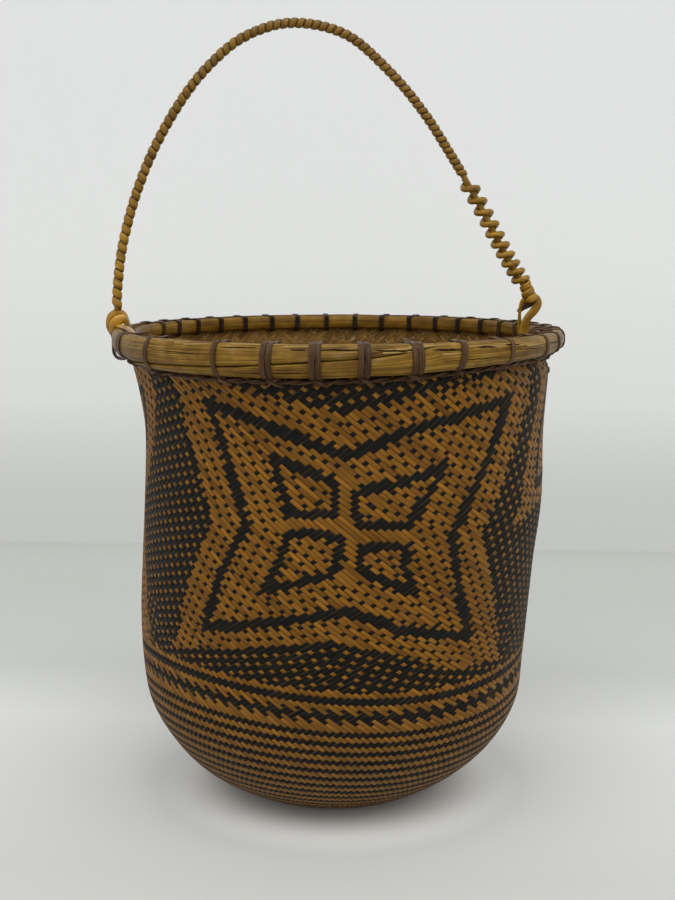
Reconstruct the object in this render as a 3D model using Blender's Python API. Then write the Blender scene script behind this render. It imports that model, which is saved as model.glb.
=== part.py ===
"""Plaited rattan basket with a split cane rim and a wrapped bail handle.

Metres, +Z up. The origin is the middle of the flat base, +X is to the right seen from the
front (-Y), and the handle arches from left to right over the mouth.
"""
import math

import bmesh
import bpy
import numpy as np
from mathutils import Vector

SEAT_GAP = 0.0003

# Overall size of the basket and the mouth
RIM_RADIUS = 0.115
RIM_HEIGHT = 0.2425
MOUTH_DROP = 0.0006
NECK_DROP = 0.0135
WALL_THICKNESS = 0.0020
BODY_SIDES = 64

# Outline of the wall from the base to the neck: shares of the neck's height, of the mouth's
# radius, and the sideways lean of the slightly crooked body as a share of the mouth's radius
BODY_OUTLINE_SHARES = (
    (0.024, 0.529, -0.020),
    (0.074, 0.692, -0.024),
    (0.141, 0.825, -0.017),
    (0.224, 0.918, -0.019),
    (0.321, 0.945, -0.023),
    (0.430, 0.958, -0.015),
    (0.550, 0.964, 0.003),
    (0.682, 0.973, 0.027),
    (0.823, 0.968, 0.033),
    (0.905, 0.982, 0.028),
    (0.974, 1.002, 0.017),
    (1.000, 1.000, 0.000),
)
BASE_RADIUS_SHARE = 0.406
BASE_LEAN_SHARE = -0.011
# The inside follows every station of the rounded bottom, and every third one above it
BOTTOM_STATIONS = 9
INSIDE_STEP = 3
# The main lines of the plaiting's relief, slanting both ways: how high they stand, and the
# first and last stations of the outline that they cover
RELIEF_HEIGHT = 0.0007
RELIEF_FIRST_STATION = 2
RELIEF_LAST_STATION = 20
RELIEF_CREASE_DEGREES = 8.5

# Outer rim: one strip of split cane, bent round with its two long tapered ends scarfed
HOOP_WIDTH = 0.0164
HOOP_THICKNESS = 0.0051
HOOP_BULGE = 0.0030
HOOP_EDGE = 0.0007
HOOP_TIP_HEIGHT = 0.0008
HOOP_STEP_DEGREES = 5.0
SCARF_TAIL_DEGREES = -72.0
SCARF_TIP_DEGREES = 23.0
# Depth of the scarf's seam below the rim's top, as a share of the hoop's width, by the angle
# from the front
SCARF_SEAM_SHARES = (
    (-72.0, 0.79),
    (-51.0, 0.73),
    (-29.0, 0.67),
    (-16.0, 0.57),
    (-5.0, 0.46),
    (6.0, 0.38),
    (14.0, 0.26),
    (23.0, 0.06),
)
# Width of the hoop, as a share of its full width: it narrows on the left, before the scarf
HOOP_FOOT_SHARES = (
    (-180.0, 1.00),
    (-132.0, 1.00),
    (-102.0, 0.79),
    (-72.0, 0.79),
)

# Inner hoop, a flat strip inside the mouth
INNER_HOOP_WIDTH = 0.0078
INNER_HOOP_THICKNESS = 0.0027
INNER_HOOP_EDGE = 0.0006
RING_SIDES = 60

# Strand ends folded down outside the wall and clamped behind the outer hoop
FOLD_THICKNESS = 0.0034
FOLD_TOP_DROP = 0.0007
FOLD_FOOT_RISE = 0.0006

# Cord that runs round the wall just under the outer hoop
CORD_DIAMETER = 0.0024
CORD_SIDES = 6

# Lashings of dark cane over the rim: angle from the front and number of strips at each
FRONT_LASHINGS = (
    (-66.0, 2), (-51.0, 1), (-29.0, 1), (-16.0, 2), (-5.0, 2), (6.0, 2),
    (18.0, 2), (30.0, 1), (44.5, 1), (60.0, 1), (70.0, 1),
)
BACK_LASHING_COUNT = 19
BACK_LASHING_FIRST_DEGREES = 81.0
BACK_LASHING_LAST_DEGREES = 249.0
LASHING_WIDTH = 0.0026
LASHING_THICKNESS = 0.0008
LASHING_STRIP_GAP = 0.0005

# Bail handle: a cane core wrapped closely, with coarse open turns low on the right
HANDLE_RISE = 0.1515
HANDLE_LEFT_INSET = 0.0016
HANDLE_RIGHT_INSET = 0.0175
CORE_RADIUS = 0.0015
CORE_SIDES = 8
CORE_STEP = 0.0075
# The arch: share of the left or right reach, and share of the rise from the foot to the crown
ARCH_LEFT_SHARES = (
    (0.9920, 0.080), (0.9650, 0.220), (0.9060, 0.388), (0.8200, 0.555), (0.6990, 0.722),
    (0.5700, 0.850), (0.4100, 0.952),
)
ARCH_CROWN_SHARE = 0.200
ARCH_RIGHT_SHARES = (
    (0.0394, 0.959), (0.2560, 0.832), (0.4360, 0.683), (0.5930, 0.512), (0.7390, 0.335),
    (0.8760, 0.152), (0.9850, 0.025),
)

WRAP_TURNS = 75
WRAP_POINTS = 8
WRAP_STRIP_GAP = 0.0008
WRAP_THICKNESS = 0.0008
WRAP_END_RUN = 0.0024
WRAP_TIGHTENING_SHARE = 0.20

TWIST_TURNS = 10
TWIST_POINTS = 9
TWIST_DIAMETER = 0.0028
TWIST_LENGTH = 0.0671
TWIST_SIDES = 6
TWIST_TIGHTENING_SHARE = 0.25

# Cane loop that ties the handle's left foot round the outer hoop
LOOP_TURNS = 2
LOOP_STRIP_WIDTH = 0.0043
LOOP_STRIP_THICKNESS = 0.0016
LOOP_STRIP_GAP = 0.0006
LOOP_RISE = 0.0106
LOOP_PLAY = 0.0005
LOOP_SIDES = 8
# Outline of one turn: shares of the loop's width from the inner to the outer leg, and of its
# height, from the top outward and round
LOOP_OUTLINE_SHARES = (
    (0.55, 1.00), (1.02, 0.95), (1.28, 0.82), (1.27, 0.67), (1.13, 0.46), (1.00, 0.25),
    (0.86, 0.08), (0.62, 0.00), (0.36, 0.00), (0.10, 0.05), (0.00, 0.17), (0.00, 0.48),
    (0.00, 0.76), (0.14, 0.93),
)

# Flat cane eye that holds the handle's right foot, with its pin through the wall
EYE_LEG_WIDTH = 0.0064
EYE_THICKNESS = 0.0022
EYE_HALF_WIDTH = 0.0054
EYE_RISE = 0.0400
EYE_LEG_INSET = 0.0050
EYE_SIDES = 8
# Middle line from the tucked tail over the eye and down the broad leg: shares of the eye's
# half width from the leg, of the strip's thickness towards the back, of the rise above the
# pin, and of the leg's width
EYE_OUTLINE_SHARES = (
    (-0.22, 1.15, 0.425, 0.28), (-0.38, 1.15, 0.563, 0.30), (-0.44, 0.80, 0.690, 0.30),
    (-0.38, 0.30, 0.800, 0.32), (-0.12, 0.00, 0.885, 0.42), (0.45, 0.00, 0.930, 0.52),
    (1.05, -0.10, 0.925, 0.64), (1.27, -0.15, 0.850, 0.68), (0.96, -0.10, 0.765, 0.68),
    (0.38, 0.00, 0.672, 0.64), (0.06, 0.00, 0.570, 0.68), (0.00, 0.00, 0.420, 0.74),
    (0.00, 0.00, 0.263, 0.74), (0.00, 0.00, 0.125, 0.62),
)
# The handle's right foot stands on the arch over the eye
EYE_FOOT_GAP = 0.0006
EYE_ARCH_SHARES = EYE_OUTLINE_SHARES[5]
PIN_RADIUS = 0.0017
PIN_CLEARANCE = 0.0005
PIN_HOLE_SIDES = 16
PIN_KNOT_RADIUS = 0.0024
PIN_KNOT_LENGTH = 0.0024
PIN_GAP = 0.0005
PIN_BEND = 0.0045

# The hinge: how far the handle swings from upright to each side, and the running gaps
SWING_DEGREES = 30.0
SWING_GAP = 0.0010
CUT_OVERRUN = 0.0100

HOOP_INNER_RADIUS = RIM_RADIUS - HOOP_THICKNESS
MOUTH_RADIUS = HOOP_INNER_RADIUS - FOLD_THICKNESS - 2 * SEAT_GAP
MOUTH_HEIGHT = RIM_HEIGHT - MOUTH_DROP
NECK_HEIGHT = RIM_HEIGHT - NECK_DROP
BASE_RADIUS = MOUTH_RADIUS * BASE_RADIUS_SHARE
HOOP_MIDDLE_HEIGHT = RIM_HEIGHT - HOOP_WIDTH / 2
INNER_HOOP_OUTER_RADIUS = MOUTH_RADIUS - WALL_THICKNESS - SEAT_GAP
INNER_HOOP_INNER_RADIUS = INNER_HOOP_OUTER_RADIUS - INNER_HOOP_THICKNESS
NARROW_HOOP_FOOT = RIM_HEIGHT - HOOP_WIDTH * HOOP_FOOT_SHARES[-1][1]
LOOP_PITCH = LOOP_STRIP_WIDTH + LOOP_STRIP_GAP
LOOP_BAR_REACH = (LOOP_PITCH + LOOP_STRIP_WIDTH) / 2
LOOP_TOP_REACH = LOOP_PITCH + LOOP_STRIP_WIDTH / 2
SWING = math.radians(SWING_DEGREES)
LOOP_AXIS_HEIGHT = (
    NARROW_HOOP_FOOT - SEAT_GAP - LOOP_BAR_REACH * math.sin(SWING) - LOOP_STRIP_THICKNESS / 2
)
PIN_AXIS_HEIGHT = (
    RIM_HEIGHT - HOOP_WIDTH - SEAT_GAP - CORD_DIAMETER - PIN_GAP - PIN_KNOT_RADIUS
)
LOOP_INNER_LEG = MOUTH_RADIUS + SEAT_GAP + LOOP_STRIP_THICKNESS / 2
LOOP_OUTER_LEG = RIM_RADIUS + LOOP_PLAY + LOOP_STRIP_THICKNESS / 2
LOOP_TOP_HEIGHT = RIM_HEIGHT + LOOP_RISE
HANDLE_HEIGHT = RIM_HEIGHT + HANDLE_RISE
HANDLE_LEFT_REACH = RIM_RADIUS - HANDLE_LEFT_INSET
HANDLE_RIGHT_REACH = RIM_RADIUS - HANDLE_RIGHT_INSET
HANDLE_LEFT_FOOT = LOOP_TOP_HEIGHT + LOOP_STRIP_THICKNESS / 2 + SEAT_GAP
HANDLE_RIGHT_FOOT = (
    PIN_AXIS_HEIGHT + EYE_RISE * EYE_ARCH_SHARES[2] + EYE_LEG_WIDTH * EYE_ARCH_SHARES[3] / 2
    + EYE_FOOT_GAP
)


def start_clean():
    for thing in list(bpy.data.objects):
        bpy.data.objects.remove(thing, do_unlink=True)


def cane_material(name, colour, roughness):
    material = bpy.data.materials.new(name)
    material.use_nodes = True
    shader = material.node_tree.nodes["Principled BSDF"]
    shader.inputs["Base Color"].default_value = (*colour, 1.0)
    shader.inputs["Roughness"].default_value = roughness
    shader.inputs["Metallic"].default_value = 0.0
    material.diffuse_color = (*colour, 1.0)
    return material


def smooth_points(points, steps):
    """Points on a smooth curve through the given ones, with so many steps between two."""
    padded = [points[0], *points, points[-1]]
    found = []
    for a, b, c, d in zip(padded, padded[1:], padded[2:], padded[3:]):
        a, b, c, d = (Vector(p) for p in (a, b, c, d))
        for step in range(steps):
            t = step / steps
            found.append(
                0.5 * (2 * b + (c - a) * t + (2 * a - 5 * b + 4 * c - d) * t * t
                       + (3 * b - a - 3 * c + d) * t ** 3)
            )
    found.append(Vector(points[-1]))
    return found


def even_points(points, step):
    """The same curve with points the same distance apart, close to the given step."""
    lengths = [0.0]
    for a, b in zip(points, points[1:]):
        lengths.append(lengths[-1] + (b - a).length)
    count = max(2, round(lengths[-1] / step))
    found, k = [], 0
    for i in range(count + 1):
        target = lengths[-1] * i / count
        while k < len(points) - 2 and lengths[k + 1] < target:
            k += 1
        span = lengths[k + 1] - lengths[k]
        found.append(points[k].lerp(points[k + 1], (target - lengths[k]) / span))
    return found


def add_loft(mesh, rings, closed=False):
    """Faces between neighbouring rings of corners, with flat ends unless it closes."""
    rows = [[mesh.verts.new(corner) for corner in ring] for ring in rings]
    pairs = list(zip(rows, rows[1:]))
    if closed:
        pairs.append((rows[-1], rows[0]))
    for low, high in pairs:
        for i in range(len(low)):
            j = (i + 1) % len(low)
            mesh.faces.new((low[i], low[j], high[j], high[i]))
    if not closed:
        mesh.faces.new(list(reversed(rows[0])))
        mesh.faces.new(rows[-1])


def finish_mesh(name, mesh, material, parent=None, crease_degrees=40.0):
    bmesh.ops.recalc_face_normals(mesh, faces=mesh.faces)
    data = bpy.data.meshes.new(name)
    mesh.to_mesh(data)
    mesh.free()
    data.materials.append(material)
    thing = bpy.data.objects.new(name, data)
    bpy.context.scene.collection.objects.link(thing)
    data.shade_smooth()
    data.set_sharp_from_angle(angle=math.radians(crease_degrees))
    if parent:
        thing.parent = parent
        thing.matrix_parent_inverse = parent.matrix_world.inverted()
    return thing


def path_frames(points, side_hint):
    """Tangent, side and face directions along a path that stays roughly square to the hint."""
    frames = []
    for i, point in enumerate(points):
        ahead = points[min(i + 1, len(points) - 1)] - points[max(i - 1, 0)]
        tangent = ahead.normalized()
        side = (side_hint - tangent * side_hint.dot(tangent)).normalized()
        frames.append((point, tangent, side, tangent.cross(side)))
    return frames


def oval_ring(point, side, face, half_side, half_face, corners):
    ring = []
    for k in range(corners):
        turn = 2 * math.pi * (k + 0.5) / corners
        ring.append(point + side * half_side * math.cos(turn) + face * half_face * math.sin(turn))
    return ring


def least_gap(rings, rings_per_turn):
    """Least distance between corners of rings that lie a turn or so apart."""
    cloud = np.array([[tuple(corner) for corner in ring] for ring in rings])
    skip = rings_per_turn * 2 // 3
    least = math.inf
    for i in range(len(cloud) - skip):
        later = cloud[i + skip:i + 2 * rings_per_turn].reshape(-1, 3)
        span = np.linalg.norm(cloud[i][:, None, :] - later[None, :, :], axis=2)
        least = min(least, float(span.min()))
    return least


def wall_outline():
    """Outer wall as (height, radius, lean), from the base's edge up to the mouth."""
    points = [(0.0, BASE_RADIUS, BASE_LEAN_SHARE * MOUTH_RADIUS)]
    for height, radius, lean in BODY_OUTLINE_SHARES:
        points.append((height * NECK_HEIGHT, radius * MOUTH_RADIUS, lean * MOUTH_RADIUS))
    outline = smooth_points(points, 2)
    outline.append(Vector((MOUTH_HEIGHT, MOUTH_RADIUS, 0.0)))
    return outline


def wall_at(height):
    """Outer radius and lean of the wall at a height."""
    outline = wall_outline()
    for low, high in zip(outline, outline[1:]):
        if low.x <= height <= high.x:
            found = low.lerp(high, (height - low.x) / (high.x - low.x))
            return found.y, found.z
    return outline[-1].y, outline[-1].z


def circle_ring(height, radius, lean, relief=0.0, station=0):
    """Ring of the body; with a relief every other corner stands out and the rest in."""
    ring = []
    for k in range(BODY_SIDES):
        turn = 2 * math.pi * k / BODY_SIDES
        reach = radius + relief * (0.5 - (k + station) % 2)
        ring.append(Vector((lean + reach * math.sin(turn), -reach * math.cos(turn), height)))
    return ring


def ridge_relief(mesh):
    """Splits each face of the relief along its two outer corners, which makes the ridges."""
    mesh.faces.ensure_lookup_table()
    rising, falling = [], []
    for station in range(RELIEF_FIRST_STATION - 1, RELIEF_LAST_STATION + 1):
        for k in range(BODY_SIDES):
            face = mesh.faces[station * BODY_SIDES + k]
            (falling if (k + station) % 2 else rising).append(face)
    bmesh.ops.triangulate(mesh, faces=rising, quad_method='FIXED')
    bmesh.ops.triangulate(mesh, faces=falling, quad_method='ALTERNATE')


def make_woven_body(material):
    """Open shell of the plaiting: flat base, swelling wall in relief, straight mouth."""
    outline = wall_outline()
    rings = []
    for i, station in enumerate(outline):
        covered = RELIEF_FIRST_STATION <= i <= RELIEF_LAST_STATION
        rings.append(circle_ring(*station, RELIEF_HEIGHT if covered else 0.0, i))
    inside = []
    for i, station in enumerate(outline):
        low = outline[max(i - 1, 0)]
        high = outline[min(i + 1, len(outline) - 1)]
        rise, spread = high.x - low.x, high.y - low.y
        length = math.hypot(rise, spread)
        inside.append((
            max(station.x + WALL_THICKNESS * spread / length, WALL_THICKNESS),
            station.y - WALL_THICKNESS * rise / length,
            station.z,
        ))
    inside[-1] = (MOUTH_HEIGHT, MOUTH_RADIUS - WALL_THICKNESS, 0.0)
    neck_inside = (NECK_HEIGHT, MOUTH_RADIUS - WALL_THICKNESS, 0.0)
    kept = [inside[-1], neck_inside]
    kept += inside[-2 - INSIDE_STEP:BOTTOM_STATIONS:-INSIDE_STEP]
    kept += inside[BOTTOM_STATIONS - 1::-1]
    rings += [circle_ring(*station) for station in kept]
    mesh = bmesh.new()
    add_loft(mesh, rings)
    ridge_relief(mesh)
    body = finish_mesh("woven_body", mesh, material, crease_degrees=RELIEF_CREASE_DEGREES)

    bpy.ops.mesh.primitive_cylinder_add(
        vertices=PIN_HOLE_SIDES, radius=PIN_RADIUS + PIN_CLEARANCE, depth=2 * CUT_OVERRUN,
        location=(MOUTH_RADIUS, 0.0, PIN_AXIS_HEIGHT), rotation=(0.0, math.pi / 2, 0.0),
    )
    cutter = bpy.context.object
    cutter.name = "pin_hole_cutter"
    cutter.hide_render = True
    cutter.display_type = 'WIRE'
    hole = body.modifiers.new("pin_hole", 'BOOLEAN')
    hole.operation = 'DIFFERENCE'
    hole.solver = 'EXACT'
    hole.object = cutter


def hoop_face_radius(height):
    """Rounded outer face of the split cane at a height."""
    away = (height - HOOP_MIDDLE_HEIGHT) / (HOOP_WIDTH / 2)
    return RIM_RADIUS - HOOP_BULGE * away * away


def share_at(degrees, table):
    for (a, low), (b, high) in zip(table, table[1:]):
        if a <= degrees <= b:
            return low + (high - low) * (degrees - a) / (b - a)
    return table[0][1] if degrees < table[0][0] else table[-1][1]


def strip_section(degrees, foot, top):
    """Corners of the outer hoop's cross-section at an angle from the front."""
    edge = min(HOOP_EDGE, (top - foot) / 3)
    outline = [
        (HOOP_INNER_RADIUS, foot),
        (hoop_face_radius(foot) - edge, foot),
        (hoop_face_radius(foot + edge), foot + edge),
        (hoop_face_radius((foot + top) / 2), (foot + top) / 2),
        (hoop_face_radius(top - edge), top - edge),
        (hoop_face_radius(top) - edge, top),
        (HOOP_INNER_RADIUS, top),
    ]
    return [around(radius, degrees, height) for radius, height in outline]


def around(radius, degrees, height, lean=0.0):
    """A point at an angle from the front, turning towards +X."""
    turn = math.radians(degrees)
    return Vector((lean + radius * math.sin(turn), -radius * math.cos(turn), height))


def make_outer_hoop(material):
    """One strip from its tail low on the front left, once round, to its tip on the front."""
    start = SCARF_TAIL_DEGREES
    end = 360.0 + SCARF_TIP_DEGREES
    steps = round((end - start) / HOOP_STEP_DEGREES)
    rings = []
    for i in range(steps + 1):
        degrees = start + (end - start) * i / steps
        top = RIM_HEIGHT
        foot = RIM_HEIGHT - HOOP_WIDTH * share_at(degrees - 360.0, HOOP_FOOT_SHARES)
        if degrees <= SCARF_TIP_DEGREES:
            top -= HOOP_WIDTH * share_at(degrees, SCARF_SEAM_SHARES) + SEAT_GAP / 2
        if degrees >= 360.0 + SCARF_TAIL_DEGREES:
            seam = share_at(degrees - 360.0, SCARF_SEAM_SHARES)
            foot = min(RIM_HEIGHT - HOOP_WIDTH * seam + SEAT_GAP / 2, RIM_HEIGHT - HOOP_TIP_HEIGHT)
        rings.append(strip_section(degrees, foot, top))
    mesh = bmesh.new()
    add_loft(mesh, rings)
    return finish_mesh("rim_outer_hoop", mesh, material)


def make_inner_hoop(material):
    foot = RIM_HEIGHT - INNER_HOOP_WIDTH
    edge = INNER_HOOP_EDGE
    outline = [
        (INNER_HOOP_OUTER_RADIUS, foot),
        (INNER_HOOP_OUTER_RADIUS, RIM_HEIGHT),
        (INNER_HOOP_INNER_RADIUS + edge, RIM_HEIGHT),
        (INNER_HOOP_INNER_RADIUS, RIM_HEIGHT - edge),
        (INNER_HOOP_INNER_RADIUS, foot + edge),
        (INNER_HOOP_INNER_RADIUS + edge, foot),
    ]
    rings = []
    for k in range(RING_SIDES):
        degrees = 360.0 * k / RING_SIDES
        rings.append([around(radius, degrees, height) for radius, height in outline])
    mesh = bmesh.new()
    add_loft(mesh, rings, closed=True)
    return finish_mesh("rim_inner_hoop", mesh, material)


def open_arc(half_opening):
    """Angles round the rim that leave an opening for the handle's loop on the left."""
    away = math.degrees(half_opening)
    return [-90.0 + away + (360.0 - 2 * away) * k / RING_SIDES for k in range(RING_SIDES + 1)]


def make_rim_fold(material):
    """Strand ends folded down between the wall and the outer hoop, open at the left loop."""
    inner = MOUTH_RADIUS + SEAT_GAP
    outer = HOOP_INNER_RADIUS - SEAT_GAP
    foot = NECK_HEIGHT + FOLD_FOOT_RISE
    top = RIM_HEIGHT - FOLD_TOP_DROP
    swept = LOOP_TOP_REACH + (LOOP_TOP_HEIGHT - LOOP_AXIS_HEIGHT) * math.sin(SWING) + SWING_GAP
    rings = []
    for degrees in open_arc(swept / MOUTH_RADIUS):
        outline = ((inner, foot), (outer, foot), (outer, top), (inner, top))
        rings.append([around(radius, degrees, height) for radius, height in outline])
    mesh = bmesh.new()
    add_loft(mesh, rings)
    return finish_mesh("rim_fold", mesh, material)


def make_rim_cord(material):
    """Cord against the wall under the hoop, its ends either side of the left loop."""
    height = RIM_HEIGHT - HOOP_WIDTH - SEAT_GAP - CORD_DIAMETER / 2
    wall_radius, lean = wall_at(height)
    radius = wall_radius + SEAT_GAP + CORD_DIAMETER / 2
    swept = LOOP_TOP_REACH + SWING_GAP + CORD_DIAMETER
    rings = []
    for degrees in open_arc(swept / MOUTH_RADIUS):
        point = around(radius, degrees, height, lean)
        outward = around(1.0, degrees, 0.0)
        rings.append(oval_ring(point, outward, Vector((0.0, 0.0, 1.0)),
                               CORD_DIAMETER / 2, CORD_DIAMETER / 2, CORD_SIDES))
    mesh = bmesh.new()
    add_loft(mesh, rings)
    return finish_mesh("rim_cord", mesh, material)


def lashing_path():
    """One lashing strip's middle line in its upright plane, as (radius, height)."""
    off = SEAT_GAP + LASHING_THICKNESS / 2
    foot = RIM_HEIGHT - HOOP_WIDTH
    shoulder = RIM_HEIGHT - HOOP_EDGE
    quarter = HOOP_WIDTH / 4
    outline = [(hoop_face_radius(foot) + off, foot)]
    for height in (foot + quarter, foot + 2 * quarter, foot + 3 * quarter):
        outline.append((hoop_face_radius(height) + off, height))
    inside = INNER_HOOP_INNER_RADIUS
    return outline + [
        (hoop_face_radius(shoulder) + off, shoulder + off / 2),
        (hoop_face_radius(RIM_HEIGHT) - HOOP_EDGE + off / 2, RIM_HEIGHT + off),
        (inside + INNER_HOOP_EDGE - off / 2, RIM_HEIGHT + off),
        (inside - off, RIM_HEIGHT - INNER_HOOP_EDGE + off / 2),
        (inside - off, RIM_HEIGHT - INNER_HOOP_WIDTH),
    ]


def make_lashing(name, degrees, strips, material):
    """One lashing at the front of the rim, turned to its place; a doubled one has a groove."""
    line = [Vector((0.0, -radius, height)) for radius, height in lashing_path()]
    half = LASHING_WIDTH * strips / 2 + LASHING_STRIP_GAP * (strips - 1) / 2
    across = Vector((1.0, 0.0, 0.0))
    rings = []
    for point, _, _, face in path_frames(line, across):
        under = point - face * (LASHING_THICKNESS / 2)
        over = point + face * (LASHING_THICKNESS / 2)
        ring = [under + across * half, under - across * half, over - across * half]
        if strips == 2:
            ring += [over - across * LASHING_STRIP_GAP, point, over + across * LASHING_STRIP_GAP]
        rings.append(ring + [over + across * half])
    mesh = bmesh.new()
    add_loft(mesh, rings)
    lashing = finish_mesh(name, mesh, material)
    lashing.rotation_euler = (0.0, 0.0, math.radians(degrees))
    return lashing


def make_lashings(material):
    for k, (degrees, strips) in enumerate(FRONT_LASHINGS):
        make_lashing(f"rim_lashing_front_{k + 1:02d}", degrees, strips, material)
    span = BACK_LASHING_LAST_DEGREES - BACK_LASHING_FIRST_DEGREES
    for k in range(BACK_LASHING_COUNT):
        degrees = BACK_LASHING_FIRST_DEGREES + span * k / (BACK_LASHING_COUNT - 1)
        make_lashing(f"rim_lashing_back_{k + 1:02d}", degrees, 1, material)


def handle_line():
    """Middle line of the handle's core from the left foot over the crown to the right foot."""
    left_rise = HANDLE_HEIGHT - HANDLE_LEFT_FOOT
    right_rise = HANDLE_HEIGHT - HANDLE_RIGHT_FOOT
    points = [(-HANDLE_LEFT_REACH, 0.0, HANDLE_LEFT_FOOT)]
    for reach, rise in ARCH_LEFT_SHARES:
        points.append((-HANDLE_LEFT_REACH * reach, 0.0, HANDLE_LEFT_FOOT + left_rise * rise))
    points.append((-HANDLE_LEFT_REACH * ARCH_CROWN_SHARE, 0.0, HANDLE_HEIGHT))
    for reach, rise in ARCH_RIGHT_SHARES:
        points.append((HANDLE_RIGHT_REACH * reach, 0.0, HANDLE_RIGHT_FOOT + right_rise * rise))
    points.append((HANDLE_RIGHT_REACH, 0.0, HANDLE_RIGHT_FOOT))
    return smooth_points(points, 12)


def make_handle_core(material, hinge):
    line = even_points(handle_line(), CORE_STEP)
    rings = []
    for point, _, side, face in path_frames(line, Vector((0.0, 1.0, 0.0))):
        rings.append(oval_ring(point, side, face, CORE_RADIUS, CORE_RADIUS, CORE_SIDES))
    mesh = bmesh.new()
    add_loft(mesh, rings)
    return finish_mesh("handle_core", mesh, material, hinge)


def line_place(line, lengths, along):
    """Point and frame on a finely sampled line at a distance along it."""
    k = 0
    while k < len(line) - 2 and lengths[k + 1] < along:
        k += 1
    share = (along - lengths[k]) / (lengths[k + 1] - lengths[k])
    point = line[k].lerp(line[k + 1], share)
    tangent = (line[k + 1] - line[k]).normalized()
    side = Vector((0.0, 1.0, 0.0))
    return point, tangent, side, tangent.cross(side)


def line_lengths(line):
    lengths = [0.0]
    for a, b in zip(line, line[1:]):
        lengths.append(lengths[-1] + (b - a).length)
    return lengths


def tightened(share, tightening):
    """Share of a winding's length reached by a share of its turns, which draw closer."""
    return share * (1 + tightening) - share * share * tightening


def make_handle_wrap(material, hinge):
    """Flat split cane wound closely from the left foot to where the coarse turns begin."""
    line = even_points(handle_line(), CORE_STEP / 4)
    lengths = line_lengths(line)
    wound = lengths[-1] - TWIST_LENGTH - 2 * WRAP_END_RUN
    radius = CORE_RADIUS + SEAT_GAP + WRAP_THICKNESS / 2
    count = WRAP_TURNS * WRAP_POINTS
    rings = []
    for i in range(count + 1):
        along = WRAP_END_RUN + wound * tightened(i / count, WRAP_TIGHTENING_SHARE)
        pace = 1 + WRAP_TIGHTENING_SHARE * (1 - 2 * i / count)
        width = wound / WRAP_TURNS * pace - WRAP_STRIP_GAP
        turn = 2 * math.pi * i / WRAP_POINTS
        point, tangent, side, face = line_place(line, lengths, along)
        outward = side * math.cos(turn) - face * math.sin(turn)
        middle = point + outward * radius
        half = tangent * (width / 2)
        thick = outward * (WRAP_THICKNESS / 2)
        rings.append([middle - half - thick, middle + half - thick,
                      middle + half + thick, middle - half + thick])
    print(f"handle_wrap: least gap to itself {least_gap(rings, WRAP_POINTS) * 1000:.2f} mm")
    mesh = bmesh.new()
    add_loft(mesh, rings)
    return finish_mesh("handle_wrap", mesh, material, hinge)


def make_handle_twist(material, hinge):
    """Round cane in coarse turns round the core, tighter towards the right foot."""
    line = even_points(handle_line(), CORE_STEP / 4)
    lengths = line_lengths(line)
    start = lengths[-1] - TWIST_LENGTH + TWIST_DIAMETER
    run = TWIST_LENGTH - 3 * TWIST_DIAMETER
    radius = CORE_RADIUS + SEAT_GAP + TWIST_DIAMETER / 2
    count = TWIST_TURNS * TWIST_POINTS
    middles = []
    for i in range(-1, count + 2):
        share = min(max(i / count, 0.0), 1.0)
        along = start + run * tightened(share, TWIST_TIGHTENING_SHARE)
        turn = 2 * math.pi * share * TWIST_TURNS
        if i < 0:
            along -= TWIST_DIAMETER
        if i > count:
            along += TWIST_DIAMETER
        point, _, side, face = line_place(line, lengths, along)
        middles.append(point + (side * math.cos(turn) - face * math.sin(turn)) * radius)
    rings = []
    for i, middle in enumerate(middles):
        ahead = middles[min(i + 1, len(middles) - 1)] - middles[max(i - 1, 0)]
        tangent = ahead.normalized()
        axis = (line[-1] - line[-2]).normalized()
        face = tangent.cross(axis).normalized()
        rings.append(oval_ring(middle, face.cross(tangent), face, TWIST_DIAMETER / 2,
                               TWIST_DIAMETER / 2, TWIST_SIDES))
    print(f"handle_twist: least gap to itself {least_gap(rings, TWIST_POINTS) * 1000:.2f} mm")
    mesh = bmesh.new()
    add_loft(mesh, rings)
    return finish_mesh("handle_twist", mesh, material, hinge)


def make_left_loop(material, hinge):
    """Flat cane coil from the handle's left foot, twice round the outer hoop."""
    width = LOOP_OUTER_LEG - LOOP_INNER_LEG
    height = LOOP_TOP_HEIGHT - LOOP_AXIS_HEIGHT
    outline = []
    for across, up in LOOP_OUTLINE_SHARES:
        outline.append((-(LOOP_INNER_LEG + width * across), 0.0, LOOP_AXIS_HEIGHT + height * up))
    outline = outline * LOOP_TURNS + [outline[0]]
    turns = even_points(smooth_points(outline, 6), LOOP_PITCH / 2)
    line = []
    for i, point in enumerate(turns):
        share = i / (len(turns) - 1)
        line.append(point + Vector((0.0, LOOP_PITCH * LOOP_TURNS * (share - 0.5), 0.0)))
    rings = []
    for point, _, side, face in path_frames(line, Vector((0.0, 1.0, 0.0))):
        rings.append(oval_ring(point, side, face, LOOP_STRIP_WIDTH / 2,
                               LOOP_STRIP_THICKNESS / 2, LOOP_SIDES))
    per_turn = len(line) // LOOP_TURNS
    print(f"left_loop: least gap to itself {least_gap(rings, per_turn) * 1000:.2f} mm")
    mesh = bmesh.new()
    add_loft(mesh, rings)
    return finish_mesh("handle_left_loop", mesh, material, hinge)


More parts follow.
